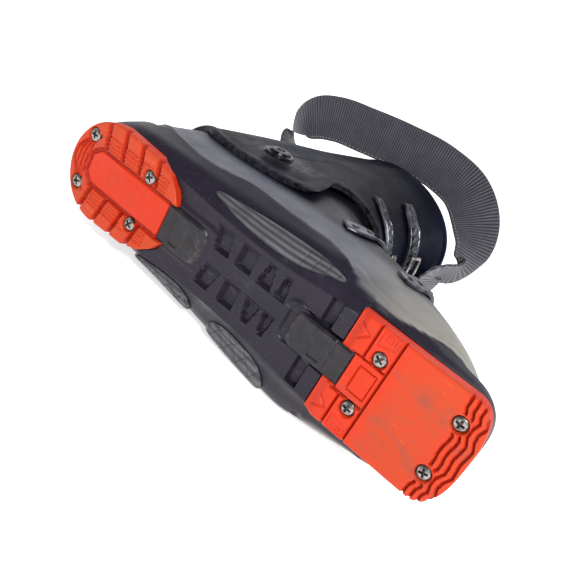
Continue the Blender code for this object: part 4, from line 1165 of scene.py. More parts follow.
@dataclass
class SoleScrews:
    """The eight sole screws: pan heads with a cross recess, sunk in their seats.

    Attributes:
        radius: half width of a head.
        face, foot: height of the head's middle and of its foot, over the floor of the sole.
        crown: how far the face falls away to its rim.
        arm, arm_half, recess: reach, half width and depth of the cross.
    """

    radius: float = 4.2
    face: float = 0.9
    foot: float = 3.3
    crown: float = 0.9
    arm: float = 2.1
    arm_half: float = 0.55
    recess: float = 1.3

    def head(self, x: float, y: float, twist: float) -> List[Sheet]:
        """One head: a height over polar rings, with the cross cut in by the distance to its arms.

        Args:
            x, y: place of the screw.
            twist: angle of the cross, in radians.

        Returns:
            The face, the wall and the foot.
        """
        turn = 2 * math.pi * np.arange(80) / 80
        r = self.radius * np.concatenate([np.linspace(0, 0.62, 20), np.linspace(0.66, 1.0, 10)])[:, None]
        px, py = r * np.cos(turn), r * np.sin(turn)
        qx = np.abs(px * math.cos(twist) + py * math.sin(twist))
        qy = np.abs(-px * math.sin(twist) + py * math.cos(twist))
        cross = np.minimum(np.hypot(np.maximum(qx - self.arm, 0), qy),
                           np.hypot(qx, np.maximum(qy - self.arm, 0)))
        cut = groove(cross, self.arm_half, 0.22)
        z = self.face + self.crown * (r / self.radius) ** 3 + self.recess * cut
        top = np.stack([x + px, y + py, z], axis=-1)
        wall = np.stack([top[-1], top[-1] * (1, 1, 0) + (0, 0, self.foot)])
        base = np.stack([wall[-1], np.broadcast_to((x, y, self.foot), wall[-1].shape)])
        shade = np.clip(cut + 0.8 * ease(r, 3.9, 4.2), 0, 1)
        return [Sheet(top, True, {"shade": shade}), Sheet(wall, True), Sheet(base, True)]

    def build(self, palette: Palette) -> None:
        """Two heads for each place, one on either side, each turned differently."""
        for order, (name, (x, y)) in enumerate(SCREWS.items()):
            for side, label in ((1, "outer"), (-1, "inner")):
                sheets = self.head(x, side * y, 0.5 + 1.1 * order + 0.6 * side)
                make_piece(f"screw_{name}_{label}_head", sheets, palette.steel,
                           [f"screw_{name}_{label}"], 40)


# ---- the shell

# height of the line between the two colours at a station, on either side
TONE_INNER = ((-5, 74), (12, 56), (26, 45), (42, 35), (60, 29), (80, 26), (96, 28), (112, 31), (137, 29),
              (160, 27), (178, 25.5), (190, 21.5), (200, 16), (211, 12.8), (225, 12.2), (240, 13),
              (254, 17), (268, 22), (285, 26), (315, 30))
TONE_OUTER = ((-5, 190), (140, 160), (158, 95), (170, 62), (181, 44), (191, 30), (202, 20), (216, 14.5),
              (240, 13), (262, 14.5), (280, 20), (315, 30))


@dataclass
class LowerShell:
    """The moulded lower shell: two colours, the ledges, the flap over the instep and the underside.

    Attributes:
        pockets: start, end, slant and taper of the pairs of pockets in the underside.
        pocket_depth: depth of a pocket.
        step: how far one colour stands over the other.
        flap: thickness of the flap over the instep.
        middle: stations along each side between the round ends.
    """

    pockets: Tuple[Tuple[float, ...], ...] = ((120, 131, 3.5, 0), (140, 152, 0, 0), (157, 168, 0, 3),
                                              (171, 179, 0, 2))
    pocket_depth: float = 3.4
    step: float = 0.9
    flap: float = 1.6
    middle: int = 200

    def stations(self) -> Array:
        """Shares from the back (0) to the front (1), close together along the underside's pockets."""
        return np.concatenate([np.linspace(0, BACK_SHARE, 40)[:-1],
                               np.linspace(BACK_SHARE, FRONT_SHARE, self.middle),
                               np.linspace(FRONT_SHARE, 1, 42)[1:]])

    def bottom(self, x: Array, y: Array) -> Array:
        """Height of the underside: seats of the soles, pockets, slots and bars.

        Args:
            x, y: places in the boot's own axes, in millimetres.

        Returns:
            The height at each place.
        """
        a = np.abs(y)
        z = np.full(np.shape(x), SHELL_BASE)
        for start, end, slant, taper in self.pockets:
            pocket = in_polygon(x, a, ((start + slant, 6), (end + slant, 6),
                                       (end - taper, 19.5), (start + taper, 19.5)))
            lip = groove(np.abs(pocket - 0.5), 0.5, 0.5)
            z = z + self.pocket_depth * groove(pocket, -0.7, 1.0) - 0.5 * lip
        z = z + 3.6 * groove(in_box(x, a, (202.6, 12.4), (210.4, 31.0), 1.0), -0.2, 0.5)
        z = z - 2.1 * groove(in_box(x, a, (210.8, 12.2), (220.4, 31.5), 0.8), 0.0, 0.4)
        z = z - 1.6 * groove(in_box(x, y, (180.5, -14.0), (196.0, 14.0), 8.0), 0.0, 1.4)
        z = z + 1.4 * groove(in_box(x, y, (185.0, -12.2), (236.0, 12.2), 5.0), 0.0, 0.5)
        z = z - 1.3 * groove(in_box(x, y, (86.0, -16.0), (121.5, 16.0), 5.0), 0.0, 1.6)
        heel = np.where(x < 63.3, -1.0, np.maximum(a - heel_half(np.minimum(x, 90.0)) - 0.35, x - 90.4))
        z = np.where((heel < 0) | (x > TOE_START - 0.3), SEAT, z)
        return z

    def tone(self, x: Array, y: Array, z: Array) -> Array:
        """Signed height above the line between the two colours."""
        outer = smooth(*np.array(TONE_OUTER, float).T, x)
        inner = smooth(*np.array(TONE_INNER, float).T, x)
        return z - np.where(y > 0, outer, inner)

    def raise_by(self, x: Array, y: Array, z: Array) -> Array:
        """How far the wall stands out: the colour step, a second line by the toe and the instep flap.

        On the outer side the step goes inwards, because the boot rests on it.

        Args:
            x, y, z: places in the boot's own axes, in millimetres.

        Returns:
            Millimetres outwards at each place.
        """
        above = self.tone(x, y, z)
        inner = y < 0
        out = self.step * (inner - ease(above, -0.4, 1.6)) * ease(z, 9, 16)
        by_toe = ease(x, 196, 216) * (1 - ease(x, 272, 290)) * inner
        out = out - 0.7 * groove(np.abs(above - 7.0), 0.9, 0.8) * by_toe
        out = out + 0.7 * np.exp(-((above - 1.5) / 4.5) ** 2) * ease(z, 12, 20) * inner
        over = ease(12.5 - y, 0.0, 0.9) * ease(y, -25, -12)
        over = over * ease(z, 55, 62) * ease(x, 120, 130) * ease(250 - x, 0.0, 2.0)
        return out + self.flap * over

    def build(self, palette: Palette) -> None:
        """Outer wall, rim, inner wall, inner floor and underside, merged into one closed mesh.

        The outer wall is levels of the form plus the relief, and the inner one is the form less
        the wall. The underside runs straight across the lowest level.
        """
        h = self.stations()
        n = len(h) - 1
        share = np.concatenate([h, h[-2:0:-1]])
        u = np.concatenate([h / 2, 1 - h[-2:0:-1] / 2])
        sign = np.concatenate([np.ones(n + 1), -np.ones(n - 1)])
        low = np.array([5.0, 5.5, 6.3, 7.4, 8.7, 10.2, 12.0, 14.0])
        high = np.concatenate([[16.0, 17.8, 18.8, TOE_LEDGE, TOE_LEDGE + 0.3, 20.0, 21.5, 23.5, 25.5, 27.5],
                               [29.0, 29.7, HEEL_LEDGE, HEEL_LEDGE + 0.3, 31.2, 33.0],
                               np.arange(35.0, 92.0, 2.0), np.arange(93.0, SHELL_RIM - 1, 4.5), [SHELL_RIM]])
        plain = FORM.surface(u, SHELL_BASE, 0.0)
        seat = (plain[:, 0] < 63.3) | (plain[:, 0] > TOE_START - 0.3)
        foot = np.where(seat, SEAT, SHELL_BASE)
        rise = (low[:, None] - low[0]) / (low[-1] - low[0])
        z = np.concatenate([foot[None] + rise * (low[-1] - foot[None]),
                            np.repeat(high[:, None], len(u), axis=1)])
        rough = FORM.surface(u[None], z, 0.0)
        out = self.raise_by(rough[..., 0], rough[..., 1], z)
        outer = self.with_lugs(FORM.surface(u[None], z, -out), z, share, sign)
        above = self.tone(outer[..., 0], outer[..., 1], outer[..., 2])
        marks = {"tone": ease(above, -0.5, 0.9), "warm": ease(outer[..., 0], 175, 270),
                 # upper: where the colour goes near black, partly a darker top colour and partly painted
                 # shade
                 "upper": ease(outer[..., 2] + 0.06 * outer[..., 0], 60, 80),
                 "wear": np.clip(ease(np.abs(above), 6, 0) * 0.5 + ease(30 - z, 0, 20) * 0.35, 0, 1)}
        inner_z = np.concatenate([np.linspace(SHELL_RIM, 30, 12), [20.0, SHELL_FLOOR]])
        inner = FORM.surface(u[None], inner_z[:, None], SHELL_WALL)
        rim = np.stack([outer[-1], inner[0]])
        left, right = np.arange(n + 1), (2 * n - np.arange(n + 1)) % (2 * n)
        t = np.linspace(0, 1, 121)[None, :, None]
        under = outer[0][left][:, None] * (1 - t) + outer[0][right][:, None] * t
        flat = self.bottom(under[..., 0], under[..., 1])
        across = np.abs(outer[0][left][:, None, 1] - outer[0][right][:, None, 1])
        edge = np.minimum(t[..., 0], 1 - t[..., 0]) * across
        foot_row = outer[0][left][:, None, 2]
        under[..., 2] = np.where(edge < 0.01, foot_row, flat)
        floor = inner[-1][left][:, None] * (1 - t[:, ::20]) + inner[-1][right][:, None] * t[:, ::20]
        floor = np.concatenate([floor, inner[-1][right][:, None]], axis=1)
        sheets = [Sheet(outer, True, marks), Sheet(rim, True), Sheet(inner, True), Sheet(floor),
                  Sheet(under, False, {"wear": ease(np.abs(under[..., 2] - 5.0), 0.2, 2.0) * 0.8 + 0.2})]
        make_piece("lower_shell_moulding", sheets, palette.shell, ["lower_shell"], 38)

    def with_lugs(self, points: Array, z: Array, h: Array, sign: Array) -> Array:
        """Carry the rows below each ledge out to the standard toe and heel outlines.

        Args:
            points, z: the outer wall's grid and its heights.
            h, sign: each column's share of the way to the front, and its side: 1 outer, -1 inner.

        Returns:
            The grid with its two lugs.
        """
        points = points.copy()
        back, front, back_end, front_end = FORM.level(z, 0.0)
        toe_x, toe_round = station(h[None], back, SOLE_LENGTH, back_end, 24.0, 1.0, 0.55)
        heel_x, heel_round = station(h[None], 0.0, front, HEEL_HALF, front_end, 1.0, 1.0)
        for side in (1, -1):
            fore = (sign[None] == side) & (h[None] > FRONT_SHARE) & (z <= TOE_LEDGE + 0.01)
            wide = np.maximum(FORM.half_width(side, toe_x, z), TOE_HALF)
            points[..., 0] = np.where(fore, toe_x, points[..., 0])
            points[..., 1] = np.where(fore, side * wide * toe_round, points[..., 1])
            rear = (sign[None] == side) & (h[None] < BACK_SHARE) & (z <= HEEL_LEDGE + 0.01)
            points[..., 0] = np.where(rear, heel_x, points[..., 0])
            heel_y = side * FORM.half_width(side, heel_x, z) * heel_round
            points[..., 1] = np.where(rear, heel_y, points[..., 1])
        return points


@dataclass
class GripPad:
    """A grip pad on the shell's flaring side.

    Attributes:
        name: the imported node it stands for.
        side: 1 for the outer side, -1 for the inner one.
        start, end: its ends along the boot.
        middle: share of its length where it is widest.
        low, high: its lowest and highest height.
        lattice: spacing in millimetres of the crossed lines; 0 for lines near its front only.
    """

    name: str
    side: int
    start: float
    end: float
    middle: float
    low: float
    high: float
    lattice: float

    def build(self, palette: Palette) -> None:
        """A crowned sheet over the form's side: 0.5 mm out at its border, 2.4 mm out inside it."""
        share = np.linspace(0, 1, 150)
        peak = np.where(share < self.middle, share / self.middle, (1 - share) / (1 - self.middle))
        swell = 0.06 + 0.94 * np.sin(np.clip(peak, 0, 1) * math.pi / 2) ** 0.62
        t = np.sin(np.linspace(-1, 1, 40) * math.pi / 2)
        centre, reach = (self.low + self.high) / 2, (self.high - self.low) / 2
        z = centre + t[:, None] * reach * swell[None]
        x = np.broadcast_to(self.start + share * (self.end - self.start), z.shape)
        crown = (1 - np.abs(t[:, None]) ** 7) * (1 - np.abs(2 * share[None] - 1) ** 26)
        long, wide = x - self.start, (z - centre) * 1.6
        if self.lattice:
            lines = np.minimum(np.abs(((long + wide) % self.lattice) - self.lattice / 2),
                               np.abs(((long - wide) % self.lattice) - self.lattice / 2))
            cuts = groove(lines, 0.35, 0.25)
        else:
            lines = np.minimum(np.abs((long % 7.5) - 3.75), np.abs(np.abs(wide) - 3.2))
            cuts = groove(lines, 0.35, 0.25) * ease(x, self.end - 34, self.end - 26)
        cuts = np.maximum(cuts, groove(np.abs(np.abs(t[:, None]) - 0.93), 0.02, 0.012) * 0.6)
        out = 0.5 + 1.9 * crown - 0.45 * cuts * crown
        top = FORM.beside(self.side, x, z, out)
        under = FORM.beside(self.side, x, z, 0.4)
        uv = np.stack([long, wide], axis=-1)
        make_piece(f"{self.name}_rubber", closed_pair(top, under, {"shade": cuts}, uv), palette.grip,
                   [self.name], 50)


@dataclass
class Cuff:
    """The cuff: one wall wound round the shaft, with beaded edges, bosses and a flap on the inner side.

    Attributes:
        turn: how far round it goes, as shares of a full turn; past 1 it overlaps itself.
        bead: height of the bead along its edges.
        boss, boss_radius: height and radius of the boss round each rivet.
        line_depth, panel: depth of the line that curves up from the boss, and height of the panel.
    """

    turn: Tuple[float, float] = (-2 / 36, 38 / 36)
    bead: float = 0.8
    boss: float = 0.9
    boss_radius: float = 21.0
    line_depth: float = 0.8
    panel: float = 0.6

    def build(self, palette: Palette) -> None:
        """Outer and inner face from offsets of the form, with relief on the outer one.

        A point is at a share s of the way round and a share t of the way up. Towards its end the
        wall lifts by its own thickness, so that it lies on its beginning.
        """
        s = np.linspace(*self.turn, 260)
        u = (0.5 - s) % 1.0
        h = np.where(u <= 0.5, 2 * u, 2 * (1 - u))
        low = smooth((0, 0.2, 0.43, 0.6, 0.8, 1.0), (96, 86, 64, 88, 130, 146), h)
        high = smooth((0, 0.3, 0.6, 1.0),
                      (CUFF_TOP_BACK, CUFF_TOP_BACK - 12, CUFF_TOP_FRONT + 2, CUFF_TOP_FRONT), h)
        rise = ease(s, 0.68, 0.90)
        lift = rise * (CUFF_WALL + FLAP_GAP)
        t = np.concatenate([np.linspace(0, 0.06, 10)[:-1], np.linspace(0.06, 0.94, 84),
                            np.linspace(0.94, 1, 10)[1:]])
        z = low + t[:, None] * (high - low)
        gap = np.minimum(z - low, high - z)
        spot = FORM.surface(u, z, 0.0)
        out = self.bead * (1 - ease(gap, 4.5, 6.5)) - 0.9 * (1 - ease(gap, 0.0, 1.4))
        ends = np.minimum(s - s[0], s[-1] - s) * 400
        out = out - 0.9 * (1 - ease(ends, 0.0, 2.0))[None]
        out = out + 0.5 * (1 - ease(ends, 6.0, 9.0))[None] * (gap > 3)
        up = z - RIVET_Z
        out = out + self.boss * groove(np.hypot(spot[..., 0] - RIVET_X, up), self.boss_radius, 2.5)
        line = np.abs(spot[..., 0] - (66 + up * 0.34) - 10 * np.sin(up / 52))
        out = out - self.line_depth * groove(line, 1.2, 0.9) * ease(z, 112, 122) * (1 - ease(high - z, 16, 8))
        panel = np.abs(spot[..., 0] - (118 + (z - 130) * 0.2))
        out = out + self.panel * groove(panel, 15, 2.0) * ease(z, 140, 150) * ease(250 - z, 0, 10)
        wear = groove(np.hypot((spot[..., 0] - 88) / 1.6, z - 104), 15, 8) * (spot[..., 1] < 0)
        wear = np.clip(wear + 0.16 * (1 - ease(gap, 1.0, 4.0)), 0, 1)
        outside = FORM.surface(u, z, -(CUFF_CLEARANCE + CUFF_WALL + lift + out))
        inside = FORM.surface(u, z, -(CUFF_CLEARANCE + lift))
        make_piece("cuff_moulding", closed_pair(outside, inside, {"wear": wear}), palette.cuff,
                   ["cuff"], 40)


@dataclass
class CuffRivets:
    """The two cuff rivets: a flanged washer with a domed cap and a hexagon socket.

    Attributes:
        washer, radius: thickness and radius of the washer.
        cap, cap_radius: height and radius of the cap over it.
        socket, socket_depth: half width across flats and depth of the socket.
    """

    washer: float = 2.2
    radius: float = 11.0
    cap: float = 2.2
    cap_radius: float = 8.0
    socket: float = 2.5
    socket_depth: float = 2.0

    def build(self, palette: Palette) -> None:
        """Heights over polar rings, laid square to the form's side."""
        turn = 2 * math.pi * np.arange(96) / 96
        r = np.concatenate([np.linspace(0.02, 3.6, 16), np.linspace(3.8, 7.4, 12),
                            np.linspace(7.6, self.radius, 14)])[:, None]
        hexagon = r * np.cos(((turn + math.pi / 6) % (math.pi / 3)) - math.pi / 6)
        height = self.washer + self.cap * (1 - ease(r, self.cap_radius - 1.4, self.cap_radius))
        height = height - 0.8 * (r / self.cap_radius) ** 2 * (r < self.cap_radius)
        height = height - 1.4 * ease(r, self.radius - 1.0, self.radius)
        height = height - self.socket_depth * (1 - ease(hexagon, self.socket, self.socket + 0.4))
        x, z = RIVET_X + r * np.cos(turn), RIVET_Z + r * np.sin(turn)
        for side, label in ((1, "outer"), (-1, "inner")):
            start = CUFF_CLEARANCE + CUFF_WALL + (CUFF_WALL + FLAP_GAP if side < 0 else 0.0) + 0.8
            flat = np.broadcast_to(start, x.shape)
            top = FORM.beside(side, x, z, flat + height)
            under = FORM.beside(side, x, z, flat)
            shade = np.broadcast_to(1 - ease(hexagon, 2.4, 3.0) + groove(np.abs(r - 7.6), 0.3, 0.3), x.shape)
            sheets = closed_pair(top, under, {"shade": np.clip(shade, 0, 1)}, wrap=True)
            make_piece(f"cuff_rivet_{label}_cap", sheets, palette.dark_steel,
                       [f"cuff_rivet_{label}"], 40)


# ---- buckles

@dataclass
class Buckle:
    """A buckle: base plate, lever, wire and toothed ladder, bent round the form in a tilted plane.

    Attributes:
        name: which buckle it is.
        centre: (x, z) inside the form.
        tilt: degrees of the plane.
        near, over: distance out on the outer side and at the ladder.
        lever, base, ladder: ranges of angle, in degrees.
    """

    name: str
    centre: Tuple[float, float]
    tilt: float
    near: float
    over: float
    lever: Tuple[float, float]
    base: Tuple[float, float]
    ladder: Tuple[float, float]

    def block(self, part: str, angles: Array, half: Array, top: Callable[[Array, Array], Array], under: float,
              finish: bpy.types.Material, slot: Slot,
              marks: Optional[Callable[[Array, Array], Dict[str, Array]]] = None, lines: int = 22) -> None:
        """A piece whose top is a height over (length in mm, share of its width), on a flat underside.

        Args:
            part: which piece of the buckle it is.
            angles, half: places round the form in degrees, and the half width at each.
            top, under: height of the top over the form, and height of the underside.
            finish, slot: its material, and the record's slot, which is not used.
            marks: attributes from length and share of the width.
            lines: points across it.
        """
        t = np.sin(np.linspace(-1, 1, lines) * math.pi / 2) * 0.999
        middle = FORM.girth(self.centre, self.tilt, (-1.0, 1.0), angles, 0.0).mean(axis=0)
        length = np.concatenate([[0.0], np.cumsum(np.linalg.norm(np.diff(middle, axis=0), axis=1))])
        shifts = np.linspace(-1, 1, 25) * float(np.max(half))
        base = FORM.girth(self.centre, self.tilt, shifts, angles, 0.0)
        lifted = FORM.girth(self.centre, self.tilt, shifts, angles, 1.0) - base
        want = t[:, None] * half[None]
        low = np.clip(np.searchsorted(shifts, want) - 1, 0, len(shifts) - 2)
        mix = ((want - shifts[low]) / (shifts[low + 1] - shifts[low]))[..., None]
        column = np.arange(len(angles))[None]
        ground = base[low, column] * (1 - mix) + base[low + 1, column] * mix
        out = lifted[low, column] * (1 - mix) + lifted[low + 1, column] * mix
        long = np.broadcast_to(length, want.shape)
        share = np.broadcast_to(t[:, None], want.shape)
        height = np.maximum(top(long, share), under + 0.05)
        extra = marks(long, share) if marks else {}
        upper = ground + out * height[..., None]
        lower = ground + out * under
        make_piece(f"buckle_{self.name}_{part}_form", closed_pair(upper, lower, extra), finish,
                   [f"buckle_{self.name}_{part}"], 40)

    def build(self, palette: Palette) -> None:
        """Make the four pieces."""
        self.build_base(palette)
        self.build_lever(palette)
        self.build_ladder(palette)
        self.build_wire(palette)

    def build_base(self, palette: Palette) -> None:
        """A plate with rolled edges and two rivet heads."""
        angles = np.linspace(*self.base, 60)

        def top(long: Array, share: Array) -> Array:
            span = long.max()
            crown = (1 - np.abs(share) ** 8) * (1 - np.abs(2 * long / span - 1) ** 12)
            knobs = sum(groove(np.hypot(long - part * span, share * 11.0), 3.0, 0.8) for part in (0.35, 0.72))
            return self.near + 2.0 * crown + 0.9 * knobs

        half = np.interp(angles, self.base, (10.8, 8.6))
        self.block("base", angles, half, top, self.near, palette.aluminium, Slot.STEEL, None, 30)

    def build_lever(self, palette: Palette) -> None:
        """A moulded lever that narrows to its tip, with a hollow, side rails and cross ribs."""
        angles = np.linspace(*self.lever, 110)
        seat = self.near + 2.8

        def top(long: Array, share: Array) -> Array:
            span = long.max()
            part = long / span
            rise = np.interp(part, (0.0, 0.14, 0.5, 0.85, 1.0), (3.4, 5.4, 6.1, 4.8, 3.0))
            crown = (1 - np.abs(share) ** 9) ** 0.5 * (1 - np.abs(2 * part - 1) ** 22) ** 0.5
            hollow = groove(np.abs(share), 0.52, 0.09) * groove(np.abs(part - 0.44), 0.25, 0.03)
            ribs = groove(np.abs((long % 4.0) - 2.0), 0.7, 0.4) * groove(np.abs(share), 0.7, 0.08)
            ribs = ribs * ease(part, 0.76, 0.79)
            return seat + rise * crown - 1.9 * hollow + 0.7 * ribs * crown

        def marks(long: Array, share: Array) -> Dict[str, Array]:
            return {"wear": ease(np.abs(share), 0.7, 0.95) * 0.9}

        half = np.interp(angles, (self.lever[0], self.lever[0] + 4, self.lever[1]), (7.6, 8.4, 7.2))
        self.block("lever", angles, half, top, seat, palette.nylon, Slot.BLACK, marks, 34)

    def build_ladder(self, palette: Palette) -> None:
        """A strip with saw teeth between two rails on its upper part, and rivets on its lower part."""
        angles = np.linspace(*self.ladder, 190)

        def top(long: Array, share: Array) -> Array:
            span = long.max()
            body = 1.8 * (1 - np.abs(share) ** 12) ** 0.5 * (1 - np.abs(2 * long / span - 1) ** 40) ** 0.5
            saw = ((span - long) / 5.4) % 1.0
            teeth = 2.5 * np.clip(saw * 1.25, 0, 1) * (1 - ease(saw, 0.86, 0.98))
            zone = groove(np.abs(share), 0.6, 0.05) * ease(long, span * 0.38, span * 0.4)
            zone = zone * (1 - ease(long, span - 1.6, span - 0.8))
            rail = groove(np.abs(np.abs(share) - 0.84), 0.11, 0.05) * ease(long, span * 0.3, span * 0.42)
            knobs = sum(groove(np.hypot(long - place * span, share * 7.5), 2.4, 0.7) for place in (0.1, 0.26))
            return self.over + body + teeth * zone + 1.2 * rail + 0.9 * knobs

        half = np.interp(angles, (self.ladder[0], self.ladder[0] + 8, self.ladder[1]), (6.0, 7.4, 7.4))
        self.block("catch", angles, half, top, self.over, palette.aluminium, Slot.STEEL, None, 40)

    def build_wire(self, palette: Palette) -> None:
        """A closed wire loop from the lever to the ladder, with a threaded sleeve on each leg."""
        start, end = self.lever[0] - 3.0, -12.0
        angles = np.linspace(start, end, 60)
        away = np.interp(angles, (end, 25.0, start), (self.over + 6.2, self.over + 6.2, self.near + 6.0))
        legs = FORM.girth(self.centre, self.tilt, (6.0, -6.0), angles, np.stack([away, away]))
        path = []
        for first, last in ((legs[0], legs[1][-1]), (legs[1][::-1], legs[0][0])):
            path.append(first)
            bow = np.linspace(0, 1, 9)[1:-1, None]
            path.append(first[-1] * (1 - bow) + last * bow)
        route = np.concatenate(path)
        sheets = tube(route, 1.45, 12, closed=True)
        for leg in legs:
            stretch = leg[6:26]
            ring = 2.2 + 0.16 * np.sin(np.arange(len(stretch) * 4) * math.pi * 0.5)
            at = np.linspace(0, len(stretch) - 1, len(stretch) * 4)
            known = np.arange(len(stretch))
            fine = np.stack([np.interp(at, known, stretch[:, k]) for k in range(3)], axis=-1)
            sheets += tube(fine, ring, 14)
        make_piece(f"buckle_{self.name}_wire", sheets, palette.steel,
                   [f"buckle_{self.name}_bail"], 40)


def buckles() -> List[Buckle]:
    """The four buckles, from the toe up."""
    instep = FORM.front[int(SHELL_RIM)]
    reach = SOLE_LENGTH - instep
    on_cuff = CUFF_CLEARANCE + CUFF_WALL + 1.2
    on_flap = on_cuff + CUFF_WALL + FLAP_GAP + 0.6
    made = [Buckle("toe", (instep + 0.32 * reach, 36.0), 62.0, 1.0, 1.0, (34, 58), (54, 72), (-72, -6)),
            Buckle("instep", (instep - 6.0, 62.0), 44.0, 1.0, 1.0, (32, 56), (52, 66), (-80, -6))]
    for name, height in (("ankle", 178.0), ("calf", 220.0)):
        made.append(Buckle(name, (FORM.middle(height), height), -SHAFT_LEAN, on_cuff, on_flap,
                           (42, 82), (78, 108), (-44, -4)))
    return made


# ---- soft pieces

@dataclass
class PowerStrap:
    """The webbing strap: fixed behind, loose in a loop on the inner side, closed over the front.

    Attributes:
        rib_mm: spacing of the cross ribs, a little coarser than real ones so that they show.
        step_mm: spacing of the grid along the strap.
        stitch_mm, stitch_pitch_mm: length and spacing of the stitches.
        stitch_row: place of the row of stitches, as a share of half the width.
    """

    rib_mm: float = 2.3
    step_mm: float = 0.42
    stitch_mm: float = 2.6
    stitch_pitch_mm: float = 4.2
    stitch_row: float = -0.9

    def route(self) -> Tuple[Array, Array]:
        """The strap's middle line, and how it turns from standing on edge to lying level.

        It is a smooth curve through points behind the cuff, in the loop and over the front flap.

        Returns:
            The points, and the turn at each of them in radians.
        """
        top = CUFF_TOP_FRONT
        centre = (FORM.middle(top), top)
        back = centre[0] - SHAFT_DEPTH / 2
        half = float(FORM.half_width(-1, centre[0], top))
        on_cuff = CUFF_CLEARANCE + CUFF_WALL + 1.3 + STRAP_THICKNESS / 2
        on_flap = on_cuff + CUFF_WALL + FLAP_GAP
        pair = (-0.5, 0.5)
        behind = FORM.girth(centre, -SHAFT_LEAN, pair, (110, 119, 128, 137),
                            (on_cuff, on_cuff, on_cuff + 0.6, on_cuff + 2.4)).mean(axis=0)
        front = FORM.girth(centre, -SHAFT_LEAN, pair, (-3, 8, 18, 30, 42, 56, 70),
                           (on_flap + 4, on_flap + 1.8, on_flap + 0.6, on_flap, on_flap, on_flap - 2.2,
                            on_cuff + 0.8)).mean(axis=0)
        reach = SHAFT_DEPTH
        loop = ((back + 1, 31, top + 1, 0.0), (back - 14, 14, top + 4, 0.0), (back - 31, -2, top + 9, 0.0),
                (back - 47, -14, top + 15, 0.08), (back - 58, -24, top + 20, 0.35),
                (back - 56, -38, top + 23, 0.75), (back - 44, -half + 1, top + 25, 1.0),
                (back - 24, -half - 8, top + 25, 1.0),
                (back + 6, -half - 14, top + 25, 1.0), (back + 45, -half - 20, top + 25, 1.0),
                (back + 90, -half - 23, top + 24, 1.0), (back + reach - 14, -half - 18, top + 21, 0.85),
                (back + reach + 12, -half + 2, top + 15, 0.5), (back + reach + 22, -half + 21, top + 8, 0.2),
                (back + reach + 22, -half + 37, top + 3, 0.04))
        way = np.concatenate([np.pad(behind, ((0, 0), (0, 1))), loop, np.pad(front, ((0, 0), (0, 1)))])
        length = np.concatenate([[0.0], np.cumsum(np.linalg.norm(np.diff(way[:, :3], axis=0), axis=1))])
        count = int(length[-1] / self.step_mm)
        at = np.linspace(0.0, length[-1], count)
        path = np.stack([smooth(length, way[:, i], at) for i in range(4)], axis=-1)
        kernel = np.hanning(41)
        kernel /= kernel.sum()
        turn = np.convolve(np.pad(np.clip(path[:, 3], 0, 1), 20, mode="edge"), kernel, "valid")
        return path[:, :3], turn * math.pi / 2

    def axes(self, points: Array, turn: Array) -> Tuple[Array, Array]:
        """Directions across the strap and out of its face.

        Args:
            points: the middle line.
            turn: its turn, in radians.

        Returns:
            Unit vectors across it and square to its face, at each point.
        """
        lean = math.radians(SHAFT_LEAN)
        axis = np.array([math.sin(lean), 0.0, math.cos(lean)])
        along = np.gradient(points, axis=0)
        along /= np.linalg.norm(along, axis=1, keepdims=True)
        upright = axis - (along @ axis)[:, None] * along
        upright /= np.linalg.norm(upright, axis=1, keepdims=True)
        level = np.cross(along, upright)
        across = np.cos(turn)[:, None] * upright + np.sin(turn)[:, None] * level
        kernel = np.hanning(61)
        kernel /= kernel.sum()
        padded = np.pad(across, ((30, 30), (0, 0)), mode="edge")
        across = np.stack([np.convolve(padded[:, k], kernel, "valid") for k in range(3)], axis=-1)
        across -= np.sum(across * along, axis=1, keepdims=True) * along
        across /= np.linalg.norm(across, axis=1, keepdims=True)
        return across, np.cross(along, across)

    def build(self, palette: Palette) -> None:
        """The webbing with its cross ribs, and the row of stitches along its lower edge."""
        points, turn = self.route()
        across, out = self.axes(points, turn)
        length = np.concatenate([[0.0], np.cumsum(np.linalg.norm(np.diff(points, axis=0), axis=1))])
        t = np.concatenate([[-1.0, -0.985], np.linspace(-0.96, 0.96, 15), [0.985, 1.0]])
        rib = 0.5 + 0.5 * np.cos(2 * math.pi * length / self.rib_mm)
        edge = np.sqrt(np.clip(1 - np.abs(t) ** 24, 0.0, 1))
        half = STRAP_THICKNESS / 2
        thick = (half - 0.25 + 0.3 * rib[:, None]) * (0.35 + 0.65 * edge)[None]
        spread = points[:, None] + across[:, None] * (t * STRAP_WIDTH / 2)[None, :, None]
        top = spread + out[:, None] * thick[..., None]
        under = spread - out[:, None] * thick[..., None]
        uv = np.stack(np.broadcast_arrays(length[:, None], (t * STRAP_WIDTH / 2)[None]), axis=-1)
        marks = {"rib": np.broadcast_to(rib[:, None], top.shape[:2])}
        strap = make_piece("power_strap_webbing", closed_pair(top, under, marks, uv), palette.webbing,
                           ["power_strap"], 60, 0.004)
        stitches = self.stitches(points, across, out, length, palette)
        LOG.info("power strap: %.0f mm long", length[-1])

    def stitches(self, points: Array, across: Array, out: Array, length: Array,
                 palette: Palette) -> bpy.types.Object:
        """One row of stitches on each face, each a small bar that tapers to its two ends.

        Args:
            points, across, out: the middle line, and the directions across it and out of its face.
            length, palette: length along the strap at each point, and the finishes.

        Returns:
            The finished object.
        """
        sheets: List[Sheet] = []
        rise = STRAP_THICKNESS / 2 + np.array([-0.05, 0.3, 0.3, -0.05])
        swell = np.array([[0.0], [1.0], [1.0], [0.0]])
        for face in (1.0, -1.0):
            for start in np.arange(6.0, length[-1] - 6.0, self.stitch_pitch_mm):
                at = np.linspace(start, start + self.stitch_mm, 4)
                i = np.searchsorted(length, at).clip(0, len(length) - 1)
                line = points[i] + across[i] * self.stitch_row * STRAP_WIDTH / 2
                line = line + out[i] * (face * rise)[:, None]
                wide = across[i] * 0.32 * swell
                deep = out[i] * face * 0.22 * swell
                ring = np.stack([line - wide, line + deep, line + wide, line - deep], axis=1)
                sheets.append(Sheet(ring, True))
        return make_piece("power_strap_stitches", sheets, palette.thread, (), 60, 0.001)


